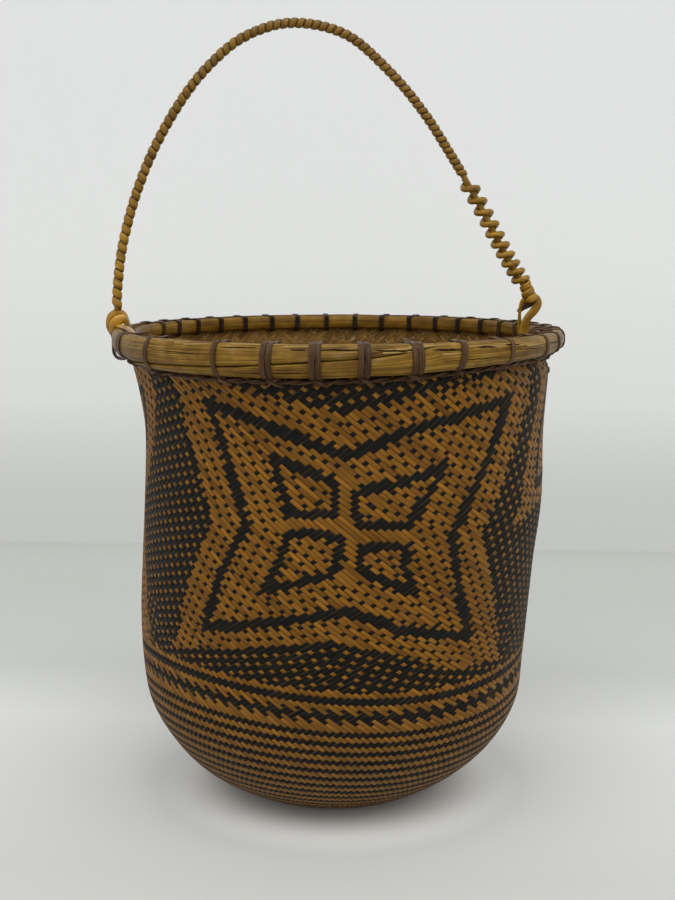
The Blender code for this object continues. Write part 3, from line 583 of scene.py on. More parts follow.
look = Finish("folded_ends", 0.6, 0.2)
fibre, blotch, tone, edge = look.fibres(60, 8)
look.colour(look.toned(look.ramp(fibre, (
    (0.3, (0.05, 0.026, 0.009)), (0.52, (0.12, 0.065, 0.022)), (0.75, (0.2, 0.12, 0.045))
)), tone, ((0.0, (0.35, 0.33, 0.32)), (1.0, (1.1, 1.05, 1.0)))))
look.bump(fibre, 0.0001, 0.7)

strips = []
for k in range(FOLD_COUNT):
    arc = 360.0 - 2 * FOLD_OPENING_DEGREES
    middle = -90.0 + FOLD_OPENING_DEGREES + arc * (k + 0.5) / FOLD_COUNT
    slant = chance.normal(1.1, 0.25) * (1 if k % 2 else -1)
    turn = np.linspace(0, math.pi, 9)
    centre, half = (FOLD_INNER + FOLD_OUTER) / 2, (FOLD_OUTER - FOLD_INNER) / 2
    top = FOLD_TOP - half - chance.uniform(0.0, 0.0005)
    radius = np.concatenate([[FOLD_INNER], centre - half * np.cos(turn), [FOLD_OUTER]])
    fold_foot = np.interp(abs(wrapped(middle)), *zip(*FOLD_FOOTS))
    height = np.concatenate([[fold_foot], top + half * np.sin(turn), [fold_foot]])
    degrees = middle + slant * np.linspace(-1, 1, len(radius))
    line = turned(radius, degrees, height)
    along_rim = turned(1.0, middle + 90.0, 0.0)
    rings = swept_strip(line, along_rim, FLAT_SECTION, FOLD_WIDTH, FOLD_THICKNESS)
    strips.append((rings, lengths_along(line), k + 1))
piece = mesh_piece("folded_strand_ends", strips, FLAT_ACROSS, look)
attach(piece, "basket")
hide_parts("rim_fold")

# Outer hoop: one strip of split cane, bark side out, bent once round. Its two long tapered
# ends lie one over the other across the front; the upper one ends in a split, fibrous tip.
RIM_RADIUS = 0.115
RIM_HEIGHT = 0.2425
HOOP_WIDTH = 0.0164
HOOP_INNER_RADIUS = 0.1099
HOOP_BULGE = 0.003
EDGE_ROUNDING, EDGE_REACH = 0.0011, 0.0005
SEAM_HALF_GAP = 0.00012
HOOP_LEAST = 0.0004
HOOP_STEP_DEGREES = 0.75
TIP_DEGREES = 23.0
TAIL_DEGREES = -72.0
SEAM_SHARES = (
    (-72.0, 0.6), (-60.0, 0.76), (-51.0, 0.73), (-29.0, 0.67), (-16.0, 0.57), (-5.0, 0.46),
    (6.0, 0.38), (14.0, 0.26), (23.0, 0.06),
)
FOOT_SHARES = (
    (-180.0, 0.55), (-90.0, 0.55), (-73.0, 0.61), (-54.0, 0.89), (-40.0, 0.93), (-19.0, 0.94),
    (-1.5, 0.91), (14.0, 0.85), (27.5, 0.76), (40.0, 0.69), (52.5, 0.63), (75.0, 0.56),
    (90.0, 0.55), (180.0, 0.55),
)


def hoop_foot(degrees):
    """Height of the hoop's lower edge, which rises from the front towards both sides."""
    return RIM_HEIGHT - HOOP_WIDTH * np.interp(wrapped(np.asarray(degrees)), *zip(*FOOT_SHARES))


def hoop_face(degrees, height):
    middle = (RIM_HEIGHT + hoop_foot(degrees)) / 2
    return RIM_RADIUS - HOOP_BULGE * ((height - middle) / (HOOP_WIDTH / 2)) ** 2


def wander(x, seed, slow, size):
    """Slow, even unevenness along a length, between about -1 and 1 times size."""
    phases = np.random.default_rng(seed).uniform(0, 6.28, 5)
    speeds = (1.0, 1.7, 2.9, 4.3, 7.1)
    return size * sum(np.sin(x * slow * s + p) / s ** 0.7 for s, p in zip(speeds, phases)) / 2.2


# The strip runs from the tip at the front right, leftwards round the back, to the tail
hoop_turn = np.arange(TIP_DEGREES, TAIL_DEGREES - 360.0 - 0.01, -HOOP_STEP_DEGREES)
shown = wrapped(hoop_turn)
seam = np.interp(shown, *zip(*SEAM_SHARES))
upper = hoop_turn >= TAIL_DEGREES
lower = hoop_turn <= TIP_DEGREES - 360.0
top = np.where(lower, RIM_HEIGHT - HOOP_WIDTH * seam - SEAM_HALF_GAP, RIM_HEIGHT)
foot = np.where(upper, RIM_HEIGHT - HOOP_WIDTH * seam + SEAM_HALF_GAP, hoop_foot(shown))
top = top + np.where(lower, wander(hoop_turn, 3, 0.35, 0.00008), 0.0)
top -= np.abs(wander(hoop_turn, 4, 0.12, 0.00022))
foot = foot + np.abs(wander(hoop_turn, 5, 0.1, 0.0002))
top = np.maximum(top, foot + HOOP_LEAST)
HOOP_STATIONS = (0.0, 0.02, 0.06, 0.14, 0.26, 0.4, 0.5, 0.6, 0.74, 0.86, 0.94, 0.98, 1.0)
rings = []
for station in HOOP_STATIONS:
    height = foot + (top - foot) * station
    edge_away = np.minimum(station, 1 - station) * (top - foot)
    rounding = EDGE_ROUNDING * np.exp(-edge_away / EDGE_REACH)
    unevenness = wander(hoop_turn, 11 + int(station * 9), 0.22, 0.00006)
    radius = np.minimum(hoop_face(hoop_turn, height) - rounding + unevenness, RIM_RADIUS)
    rings.append(turned(np.maximum(radius, HOOP_INNER_RADIUS + HOOP_LEAST), hoop_turn, height))
rings.append(turned(HOOP_INNER_RADIUS, hoop_turn, top))
rings.append(turned(HOOP_INNER_RADIUS, hoop_turn, foot))
hoop_rings = np.stack(rings, 1)
hoop_length = np.radians(np.abs(hoop_turn - hoop_turn[0])) * RIM_RADIUS
hoop_across = [0.02 + 0.96 * s for s in HOOP_STATIONS] + [0.9, 0.1]

look = Finish("split_cane_hoop", 0.45, 0.16)
fibre, blotch, tone, edge = look.fibres(16, 13)
fine, mottle, (x, y, z) = look.fibres(11, 42)[0], look.fibres(260, 12)[0], look.spot()
body = look.ramp(look.mixed((fibre, 0.4), (fine, 0.35), (blotch, 0.25)), (
    (0.38, (0.04, 0.017, 0.0025)), (0.46, (0.115, 0.055, 0.0055)),
    (0.54, (0.205, 0.11, 0.011)), (0.63, (0.42, 0.255, 0.045))))
grey = look.sum("MAXIMUM", look.between(x, -0.08, -0.112, 0.0, 0.4),
                look.between(x, 0.082, 0.108, 0.0, 0.55), look.between(blotch, 0.58, 0.7, 0.0, 0.35))
cracks = look.sum("MAXIMUM", look.between(fine, 0.385, 0.34, 0.0, 0.85),
                  look.between(mottle, 0.69, 0.74, 0.0, 0.8), look.between(edge, 0.945, 0.985, 0.0, 0.95))
look.colour(look.blend(cracks, look.blend(grey, body, (0.185, 0.135, 0.075)), (0.02, 0.009, 0.003)))
look.bump(look.mixed((fibre, 0.5), (fine, 0.5)), 0.0003, 0.8)
piece = mesh_piece("outer_hoop_strip", [(hoop_rings, hoop_length, 3)], hoop_across, look, 50.0)
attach(piece, "basket")
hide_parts("rim_outer_hoop")

# Torn fibres of the hoop: thin splinters that lift off its top edge at the left, round the
# tip, and along a crack near the top at the right.
look = Finish("torn_cane_fibres", 0.6, 0.2)
look.colour(look.ramp(look.fibres(40, 4)[0], (
    (0.3, (0.24, 0.135, 0.03)), (0.7, (0.48, 0.33, 0.12)))))
# Start and end angles, their shares of the hoop's width down from its top, and lift
SPLINTERS = (
    (-56, -47, 0.03, 0.1, 0.5), (-50, -44, 0.02, 0.05, 0.9), (-47, -40, 0.05, 0.02, 0.8),
    (-43, -37.5, 0.03, 0.01, 1.5), (-41, -35, 0.06, 0.02, 0.7), (-38, -30, 0.1, 0.05, 0.4),
    (9, 21.5, 0.16, 0.1, 0.6), (13, 24.5, 0.12, 0.06, 0.7), (16, 26, 0.08, 0.04, 0.8),
    (10, 19, 0.22, 0.2, 0.5), (18, 27, 0.05, 0.06, 0.4), (31, 41, 0.12, 0.09, 0.5),
    (33, 47, 0.16, 0.14, 0.6), (38, 52, 0.1, 0.12, 0.5), (45, 58, 0.18, 0.14, 0.6),
    (50, 64, 0.22, 0.2, 0.5), (56, 68, 0.13, 0.12, 0.4), (24, 30, 0.3, 0.28, 0.4),
    (-12, 2, 0.06, 0.04, 0.4), (-25, -12, 0.03, 0.02, 0.4),
)
SPLINTER_LIFT, SPLINTER_RISE = 0.0006, 0.0004
SPLINTER_WIDTH, SPLINTER_THICKNESS = 0.00075, 0.00028


def hoop_line(start, end, low, high, count):
    """Shares, angles and heights along a line on the hoop's face."""
    share = np.linspace(0, 1, count)
    height = RIM_HEIGHT - HOOP_WIDTH * (low + (high - low) * share)
    return share, start + (end - start) * share, height


strips = []
for k, (start, end, low, high, lift) in enumerate(SPLINTERS):
    share, degrees, height = hoop_line(start, end, low, high, 9)
    lifted = 0.00015 + SPLINTER_LIFT * lift * share ** 2.5
    line = turned(hoop_face(degrees, height) + lifted - 0.0002, degrees,
                  height + SPLINTER_RISE * lift * share ** 3)
    rings = swept_strip(line, (0.0, 0.0, 1.0), FLAT_SECTION,
                        SPLINTER_WIDTH * (1.02 - share ** 2),
                        SPLINTER_THICKNESS * (1.05 - share))
    strips.append((rings, lengths_along(line), k + 1))
piece = mesh_piece("torn_hoop_fibres", strips, FLAT_ACROSS, look)
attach(piece, "basket")
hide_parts("rim_outer_hoop")

# Cracks in the hoop: the old cane has split along its fibres, a row of slits close below its top edge and
# a few lower down. Their dark inside is painted shade: near-black strips laid just off the hoop's face.
look = Finish("hoop_crack_shadows", 0.8, 0.05)
look.colour(look.ramp(look.fibres(60, 4)[0], (
    (0.3, (0.004, 0.002, 0.001)), (0.7, (0.022, 0.011, 0.004)))))
# As above, with the width of the crack at its middle
CRACKS = (
    (-10.5, -7.0, 0.14, 0.14, 0.0007), (-4.8, 5.5, 0.13, 0.145, 0.0008),
    (8.5, 15.5, 0.15, 0.2, 0.0009), (21.5, 29.0, 0.17, 0.2, 0.0009),
    (33.0, 39.0, 0.15, 0.17, 0.0008), (42.0, 47.0, 0.13, 0.16, 0.0009),
    (-27.0, -18.5, 0.12, 0.1, 0.0005), (-49.0, -33.0, 0.3, 0.34, 0.0003),
    (24.0, 42.0, 0.48, 0.47, 0.0003), (46.0, 58.0, 0.3, 0.33, 0.0003),
    (61.0, 72.0, 0.24, 0.26, 0.0004), (-24.0, -8.0, 0.8, 0.78, 0.0003),
)
CRACK_THICKNESS = 0.0003
strips = []
for k, (start, end, low, high, wide) in enumerate(CRACKS):
    share, degrees, height = hoop_line(start, end, low, high, 13)
    height = height + wander(degrees, 60 + k, 1.3, 0.00015)
    line = turned(np.minimum(hoop_face(degrees, height) + 0.00008, RIM_RADIUS), degrees, height)
    open_by = wide * (0.25 + 0.75 * np.sin(math.pi * share)) \
        * (1 + wander(degrees, 80 + k, 2.1, 0.25))
    rings = swept_strip(line, (0.0, 0.0, 1.0), FLAT_SECTION, open_by, CRACK_THICKNESS)
    strips.append((rings, lengths_along(line), k + 1))
piece = mesh_piece("hoop_crack_shadows", strips, FLAT_ACROSS, look)
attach(piece, "basket")
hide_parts("rim_outer_hoop")

# Inner hoop: a flat strip of split cane inside the mouth, darker and duller than the outer one,
# its ends meeting at the back.
INNER_HOOP_OUTER = 0.1036
INNER_HOOP_INNER = 0.1009
INNER_HOOP_MIDDLE = 0.102
INNER_HOOP_WIDTH = 0.0078
INNER_HOOP_ENDS = 190.0
inner_turn = np.linspace(INNER_HOOP_ENDS, INNER_HOOP_ENDS + 360.0, 361)
inner_top = RIM_HEIGHT - 0.0001 - np.abs(wander(inner_turn, 21, 0.09, 0.0003))
inner_foot = RIM_HEIGHT - INNER_HOOP_WIDTH + np.abs(wander(inner_turn, 22, 0.09, 0.0003))
rings = []
for reach, share in ((0.0, 0.0), (1.0, 0.02), (1.6, 0.1), (1.9, 0.3), (2.0, 0.5), (1.9, 0.7),
                     (1.6, 0.9), (1.0, 0.98), (0.0, 1.0)):
    radius = INNER_HOOP_OUTER - (INNER_HOOP_OUTER - INNER_HOOP_INNER) * reach / 2
    rings.append(turned(radius, inner_turn, inner_foot + (inner_top - inner_foot) * share))
look = Finish("inner_hoop_cane", 0.5, 0.16)
fibre, blotch, tone, edge = look.fibres(18, 12)
fine = look.fibres(12, 36)[0]
body = look.ramp(look.mixed((fibre, 0.4), (fine, 0.3), (blotch, 0.3)), (
    (0.36, (0.06, 0.026, 0.003)), (0.5, (0.17, 0.083, 0.008)), (0.64, (0.33, 0.185, 0.026))))
look.colour(look.blend(look.between(fine, 0.385, 0.34, 0.0, 0.8), body, (0.016, 0.007, 0.002)))
look.bump(fibre, 0.0002, 0.8)
inner_length = np.radians(inner_turn - inner_turn[0]) * INNER_HOOP_MIDDLE
piece = mesh_piece("inner_hoop_strip", [(np.stack(rings, 1), inner_length, 5)],
                   (0.02, 0.04, 0.12, 0.3, 0.5, 0.7, 0.88, 0.96, 0.98), look, 50.0)
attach(piece, "basket")
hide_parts("rim_inner_hoop")

# Cord under the hoop: two thin dark cane strips twisted on each other, laid against the wall
# and tied to it below each lashing.
CORD_WALL_REACH = 0.1064
CORD_DROP = 0.0021
CORD_HALF = 0.0012
CORD_OPENING_DEGREES = 5.4
CORD_TURNS = 34
CORD_STRAND_REACH, CORD_STRAND_WIDTH = 0.00056, 0.00128
look = dark_cane = Finish("dark_lashing_strips", 0.45, 0.18)
fibre, blotch, tone, edge = look.fibres(55, 7)
fine, (x, y, z) = look.fibres(30, 18)[0], look.spot()
body = look.toned(look.ramp(look.mixed((fibre, 0.4), (fine, 0.3), (blotch, 0.3)), (
    (0.35, (0.013, 0.006, 0.0022)), (0.5, (0.052, 0.025, 0.01)), (0.66, (0.145, 0.075, 0.029))
)), tone, ((0.0, (0.75, 0.72, 0.7)), (1.0, (1.25, 1.2, 1.1))))
# Paler towards the right.
shifted_by_place = look.blend(look.between(x, 0.06, 0.088, 0.0, 0.5), body, (0.115, 0.062, 0.026))
# Painted shade: the strips at the back, seen on the inside of the mouth, go near black.
look.colour(look.blend(look.between(y, 0.02, 0.06, 0.0, 0.85), shifted_by_place, (0.008, 0.005, 0.0025)))
look.bump(fibre, 0.00012, 0.7)


def wall_lean(height):
    return np.interp(height, (0.223, 0.229), (0.0018, 0.0))


strips = []
for strand in range(2):
    share = np.linspace(0, 1, CORD_TURNS * 8 + 1)
    degrees = -90.0 + CORD_OPENING_DEGREES + (360.0 - 2 * CORD_OPENING_DEGREES) * share
    twist = 2 * math.pi * CORD_TURNS * share + math.pi * strand
    radius = CORD_WALL_REACH + 0.0003 + CORD_HALF + CORD_STRAND_REACH * np.cos(twist)
    height = hoop_foot(degrees) - CORD_DROP
    line = turned(radius, degrees, height + CORD_STRAND_REACH * np.sin(twist), wall_lean(height))
    rings = swept_strip(line, (0, 0, 1), ROUND_SECTION, CORD_STRAND_WIDTH, CORD_STRAND_WIDTH)
    strips.append((rings, lengths_along(line), strand + 1))
piece = mesh_piece("rim_cord_strands", strips, ROUND_ACROSS, dark_cane, 60.0)
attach(piece, "basket")
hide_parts("rim_cord")

# Lashings: strips of dark cane drawn over both hoops and through the wall under them, doubled
# at some places in front. Each ends below in a small cross tied over the cord.
FRONT_LASHINGS = (
    (-67.3, 2, 0.3), (-51.0, 1, 0.2), (-29.0, 1, -0.4), (-16.0, 2, 0.2), (-5.0, 2, 0.0),
    (6.0, 2, 0.2), (18.0, 2, -0.3), (30.0, 1, 1.5), (44.5, 1, 0.3), (60.0, 1, -0.3),
    (70.0, 1, 0.2),
)
LASHING_WIDTH = 0.0026
LASHING_THICKNESS = 0.0008
LASHING_GAP, LASHING_RADIUS = 0.0003, 0.112
BACK_FIRST, BACK_LAST, BACK_COUNT = 81.0, 249.0, 19
CROSS_SPANS = {1: 1.35, 2: 1.9}
CROSS_DROP, CROSS_WIDTH, CROSS_THICKNESS = 0.0043, 0.0016, 0.0006
CROSS_RADIUS, CROSS_BULGE, CROSS_STEP = 0.1068, 0.003, 0.0004


def lashing_line(degrees):
    """The strip's middle line as (radius, height), from the wall under the outer hoop, up and
    over both hoops, to the wall under the inner one."""
    off = 0.0001 + LASHING_THICKNESS / 2
    under = float(hoop_foot(degrees))
    points = [(0.1078, under + 0.0001), (0.1106, under - 0.0003)]
    for share, inward in ((0.04, 0.0007), (0.25, 0.0), (0.5, 0.0), (0.75, 0.0), (0.95, 0.0005)):
        height = under + (RIM_HEIGHT - under) * share
        points.append((hoop_face(degrees, height) + off - inward, height))
    points += [
        (hoop_face(degrees, RIM_HEIGHT) - 0.0009, 0.2425), (0.1102, 0.2427), (0.1068, 0.2421),
        (0.1035, 0.2426), (0.1012, 0.2424), (0.1004, 0.2416), (0.1004, 0.2397), (0.1004, 0.237),
        (0.1007, 0.2348), (0.1028, 0.234),
    ]
    return smooth_line(points, 4)


places = [(degrees, strips, slant, f"rim_lashing_front_{k + 1:02d}")
          for k, (degrees, strips, slant) in enumerate(FRONT_LASHINGS)]
places += [(BACK_FIRST + (BACK_LAST - BACK_FIRST) * k / (BACK_COUNT - 1), 1,
            float(chance.normal(0, 0.5)), f"rim_lashing_back_{k + 1:02d}")
           for k in range(BACK_COUNT)]
for number, (degrees, count, slant, node) in enumerate(places):
    strips = []
    lash_line = lashing_line(degrees)
    lash_share = lengths_along(lash_line) / lengths_along(lash_line)[-1]
    for strand in range(count):
        aside = (strand - (count - 1) / 2) * (LASHING_WIDTH + LASHING_GAP) / LASHING_RADIUS
        turn = degrees + np.degrees(aside) + slant * (2 * lash_share - 1)
        line = turned(lash_line[:, 0], turn, lash_line[:, 1])
        hint = turned(1.0, degrees + 90.0, 0.0)
        wide = LASHING_WIDTH * (1.25 if count == 1 and abs(slant) > 1 else 1.0)
        rings = swept_strip(line, hint, FLAT_SECTION, wide, LASHING_THICKNESS)
        strips.append((rings, lengths_along(line), 2 * number + strand + 1))
    for way in (-1, 1):
        share = np.linspace(0, 1, 9)
        arch = np.sin(math.pi * share)
        turn = degrees + way * CROSS_SPANS[count] * (2 * share - 1)
        radius = CROSS_RADIUS + CROSS_BULGE * arch + CROSS_STEP * (way + 1) * arch
        height = float(hoop_foot(degrees)) + 0.0002 - CROSS_DROP * share
        line = turned(radius, turn, height, wall_lean(height))
        rings = swept_strip(line, (0.3, 0.0, 1.0), FLAT_SECTION, CROSS_WIDTH, CROSS_THICKNESS)
        strips.append((rings, lengths_along(line), 2 * number + 80 + way))
    piece = mesh_piece(f"{node}_strips", strips, FLAT_ACROSS, dark_cane)
    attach(piece, "basket")
    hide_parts(node)

# Handle core: one thin round cane, 3 mm thick, bent into a high arch, its feet pushed into the
# two ties. It shows only between the turns of the coarse winding.
LEFT_REACH, RIGHT_REACH = 0.1134, 0.0975
LEFT_FOOT, RIGHT_FOOT, CROWN = 0.2542, 0.26, 0.394
ARCH_LEFT = (
    (0.992, 0.08), (0.965, 0.22), (0.906, 0.388), (0.82, 0.555), (0.699, 0.722),
    (0.57, 0.85), (0.41, 0.952),
)
ARCH_RIGHT = (
    (0.0394, 0.959), (0.256, 0.832), (0.436, 0.683), (0.593, 0.512), (0.739, 0.335),
    (0.876, 0.152), (0.985, 0.025),
)
CORE_RADIUS = 0.0015
FOOT_DROP = 0.0026
points = [(-LEFT_REACH, 0.0, LEFT_FOOT - FOOT_DROP)]
points += [(-LEFT_REACH * a, 0.0, LEFT_FOOT + (CROWN - LEFT_FOOT) * b) for a, b in ARCH_LEFT]
points += [(-LEFT_REACH * 0.2, 0.0, CROWN)]
points += [(RIGHT_REACH * a, 0.0, RIGHT_FOOT + (CROWN - RIGHT_FOOT) * b) for a, b in ARCH_RIGHT]
points += [(RIGHT_REACH, 0.0, RIGHT_FOOT)]
arch = smooth_line(points, 12)
arch_length = lengths_along(arch)
even = np.linspace(0, arch_length[-1], 480)
arch = np.stack([np.interp(even, arch_length, arch[:, k]) for k in range(3)], -1)
arch_length = lengths_along(arch)
arch_ahead = np.gradient(arch, axis=0)
arch_ahead /= np.linalg.norm(arch_ahead, axis=1)[:, None]


def on_arch(along):
    """Place, tangent, side (to the back) and face at distances along the handle's core."""
    place = np.stack([np.interp(along, arch_length, arch[:, k]) for k in range(3)], -1)
    tangent = np.stack([np.interp(along, arch_length, arch_ahead[:, k]) for k in range(3)], -1)
    tangent /= np.linalg.norm(tangent, axis=1)[:, None]
    side = np.broadcast_to((0.0, 1.0, 0.0), tangent.shape)
    return place, tangent, side, np.cross(tangent, side)


look = handle_cane = Finish("handle_cane", 0.36, 0.26, 0.08, 0.25)
(fibre, blotch, tone, edge), (x, y, z) = look.fibres(55, 8), look.spot()
body = look.ramp(look.mixed((fibre, 0.5), (blotch, 0.5)), (
    (0.32, (0.13, 0.06, 0.003)), (0.5, (0.305, 0.155, 0.008)), (0.68, (0.46, 0.27, 0.026))))
# Darker higher up, towards the crown.
shifted_by_place = look.blend(look.between(z, 0.265, 0.345), body,
                  look.blend(1.0, body, (0.6, 0.57, 0.5), "MULTIPLY"))
edged = look.blend(look.between(edge, 0.75, 1.0, 0.0, 0.7), shifted_by_place, (0.045, 0.019, 0.003))
# The pin's knot is dark
look.colour(look.blend(look.between(z, 0.2245, 0.2225, 0.0, 0.9), edged, (0.02, 0.011, 0.006)))
look.bump(fibre, 0.0001, 0.6)
along = np.linspace(0, arch_length[-1], 120)
place = on_arch(along)[0]
rings = swept_strip(place, (0, 1, 0), ROUND_SECTION, 2 * CORE_RADIUS, 2 * CORE_RADIUS)
piece = mesh_piece("handle_core_cane", [(rings, along, 1)], ROUND_ACROSS, handle_cane, 60)
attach(piece, "handle")
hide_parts("handle_core")

# Handle wrap: flat split cane wound closely round the core, each turn bulging like a rope's,
# from the left foot over the crown to where the coarse winding begins.
WRAP_TURNS = 75
WRAP_END_RUN = 0.0012
TWIST_LENGTH = 0.0671
WRAP_TIGHTENING = 0.2
WRAP_RADIUS = 0.0021
WRAP_GAP, WRAP_THICKNESS = 0.00035, 0.001
WRAP_SECTION = (
    (-0.44, -0.5), (0.44, -0.5), (0.5, -0.1), (0.4, 0.28), (0.18, 0.5), (-0.18, 0.5),
    (-0.4, 0.28), (-0.5, -0.1),
)
wound = arch_length[-1] - TWIST_LENGTH - 2 * WRAP_END_RUN
share = np.linspace(0, 1, WRAP_TURNS * 14 + 1)
along = WRAP_END_RUN + wound * (share * (1 + WRAP_TIGHTENING) - share ** 2 * WRAP_TIGHTENING)
turn = 2 * math.pi * WRAP_TURNS * share
place, tangent, side, face = on_arch(along)
outward = side * np.cos(turn)[:, None] - face * np.sin(turn)[:, None]
middle = place + outward * (WRAP_RADIUS + wander(along * 1000, 31, 0.5, 0.00006))[:, None]
pitch = wound / WRAP_TURNS * (1 + WRAP_TIGHTENING * (1 - 2 * share))
section = np.array(WRAP_SECTION)
rings = (middle[:, None, :]
         + tangent[:, None, :] * (section[None, :, 0] * (pitch - WRAP_GAP)[:, None])[..., None]
         + outward[:, None, :] * (section[None, :, 1] * WRAP_THICKNESS)[..., None])
piece = mesh_piece("handle_wrap_cane", [(rings, lengths_along(middle), 2)], FLAT_ACROSS,
                   handle_cane, 50)
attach(piece, "handle")
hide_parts("handle_wrap")

# Coarse winding low on the right: thicker round cane, wound over the core in open turns that
# draw closer downward, where the close winding has ended.
TWIST_TURNS = 10
TWIST_DIAMETER = 0.0028
TWIST_LOOSE, TWIST_TAIL = 0.0003, 0.0024
start = arch_length[-1] - TWIST_LENGTH + TWIST_DIAMETER
run = TWIST_LENGTH - 3 * TWIST_DIAMETER
share = np.linspace(0, 1, TWIST_TURNS * 16 + 1)
along = start + run * (share * 1.25 - share ** 2 * 0.25)
place, tangent, side, face = on_arch(along)
turn = 2 * math.pi * TWIST_TURNS * share
loose = TWIST_LOOSE + CORE_RADIUS + TWIST_DIAMETER / 2
middle = place + (side * np.cos(turn)[:, None] - face * np.sin(turn)[:, None]) * loose
middle = np.vstack([middle[0] - tangent[0] * TWIST_TAIL, middle,
                    middle[-1] + tangent[-1] * TWIST_TAIL])
hints = -np.gradient(middle, axis=0)[:, [2, 1, 0]] + (0.3, 0.1, 0.2)
piece = single_strip("handle_twist_cane", middle, hints, TWIST_DIAMETER * 1.18,
                     TWIST_DIAMETER * 1.05, 3, handle_cane, "round")
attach(piece, "handle")
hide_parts("handle_twist")

# Left tie: glossy golden cane, taken twice round the outer hoop and tucked under itself, that
# holds the handle's left foot.
LOOP_INNER_LEG, LOOP_OUTER_LEG = 0.107, 0.1163
LOOP_AXIS, LOOP_TOP = 0.2263, 0.2531
# Share from the inner to the outer leg, share of the height, place to the back, width and
# thickness: a wide outer turn behind, then a broader one in front of it
LOOP_PATH = (
    (0.02, 0.3, 0.004, 0.003, 0.0013), (0.02, 0.57, 0.003, 0.003, 0.0014),
    (0.14, 0.72, 0.0024, 0.0032, 0.002), (0.3, 0.83, 0.002, 0.0034, 0.0028),
    (0.5, 0.878, 0.0018, 0.0036, 0.0036), (0.705, 0.882, 0.0017, 0.0036, 0.0038),
    (0.905, 0.855, 0.0017, 0.0036, 0.0038), (1.07, 0.8, 0.0017, 0.0036, 0.0036),
    (1.17, 0.721, 0.0018, 0.0036, 0.003), (1.23, 0.65, 0.0022, 0.0034, 0.0021),
    (1.25, 0.58, 0.0028, 0.0032, 0.0012), (1.17, 0.5, 0.0034, 0.0031, 0.001),
    (1.02, 0.4, 0.0042, 0.0031, 0.0011), (0.95, 0.18, 0.0048, 0.0031, 0.0012),
    (0.86, 0.03, 0.0052, 0.0031, 0.0013), (0.45, 0.0, 0.0046, 0.0031, 0.0013),
    (0.08, 0.07, 0.0032, 0.0031, 0.0013), (0.0, 0.3, 0.0012, 0.0032, 0.0014),
    (0.04, 0.55, -0.0004, 0.0032, 0.0018), (0.14, 0.69, -0.001, 0.0036, 0.003),
    (0.317, 0.768, -0.0016, 0.004, 0.0046), (0.544, 0.75, -0.002, 0.0042, 0.0054),
    (0.745, 0.7, -0.0022, 0.0042, 0.0052), (0.87, 0.635, -0.002, 0.0042, 0.0042),
    (0.93, 0.545, -0.0016, 0.004, 0.0032), (0.93, 0.47, -0.001, 0.0036, 0.002),
    (0.93, 0.38, -0.0002, 0.0034, 0.0014), (0.94, 0.25, 0.0004, 0.0034, 0.0013),
    (0.93, 0.1, 0.0016, 0.0032, 0.0013), (0.7, 0.0, 0.0018, 0.0031, 0.0013),
    (0.22, 0.0, 0.0012, 0.003, 0.0013), (0.02, 0.1, 0.0004, 0.0026, 0.0012),
    (0.0, 0.26, -0.0006, 0.002, 0.0011),
)
fine = smooth_line([(-(LOOP_INNER_LEG + (LOOP_OUTER_LEG - LOOP_INNER_LEG) * a), back,
                     LOOP_AXIS + (LOOP_TOP - LOOP_AXIS) * b, wide, thick)
                    for a, b, back, wide, thick in LOOP_PATH], 7)
look = loop_cane = Finish("golden_tie_cane", 0.28, 0.4, 0.2, 0.12)
(fibre, blotch, tone, edge), (x, y, z) = look.fibres(40, 9), look.spot()
body = look.ramp(look.mixed((fibre, 0.6), (blotch, 0.4)), (
    (0.34, (0.21, 0.095, 0.0025)), (0.5, (0.44, 0.215, 0.006)), (0.66, (0.6, 0.34, 0.022))))
golden = look.blend(look.between(edge, 0.85, 1.0, 0.0, 0.7), body, (0.06, 0.022, 0.003))
muted = look.blend(look.between(x, -0.1103, -0.107, 0.0, 0.7), golden, (0.2, 0.105, 0.025))
# Painted shade: the turns low round the hoop go dark brown, partly darkened with age, partly for the shade
# under the hoop's edge.
look.colour(look.blend(look.between(z, 0.2408, 0.2378, 0.0, 0.93), muted, (0.04, 0.02, 0.009)))
look.bump(fibre, 0.0001, 0.5)
piece = single_strip("left_tie_cane", fine[:, :3], (0, 1, 0), fine[:, 3], fine[:, 4], 1, loop_cane)
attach(piece, "handle")
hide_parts("handle_left_loop")

# The tie's loose end stays on the rim: the same golden cane, laid along the top of the hoops,
# dips between them just before the first lashing.
TAIL_PATH = (
    (-92.0, 0.114, 0.2422, 0.0024), (-89.2, 0.1128, 0.2431, 0.0032),
    (-85.0, 0.11, 0.2434, 0.0034), (-81.0, 0.1077, 0.2432, 0.0034),
    (-76.9, 0.1062, 0.2425, 0.0032), (-73.3, 0.1054, 0.2416, 0.0026),
    (-70.0, 0.1047, 0.2406, 0.002),
)
TAIL_THICKNESS = 0.002
fine = smooth_line(TAIL_PATH, 5)
line = turned(fine[:, 1], fine[:, 0], fine[:, 2])
piece = single_strip("left_tie_end", line, turned(1.0, fine[:, 0], 0.0), fine[:, 3],
                     TAIL_THICKNESS, 2, loop_cane)
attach(piece, "basket")
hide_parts("rim_fold")

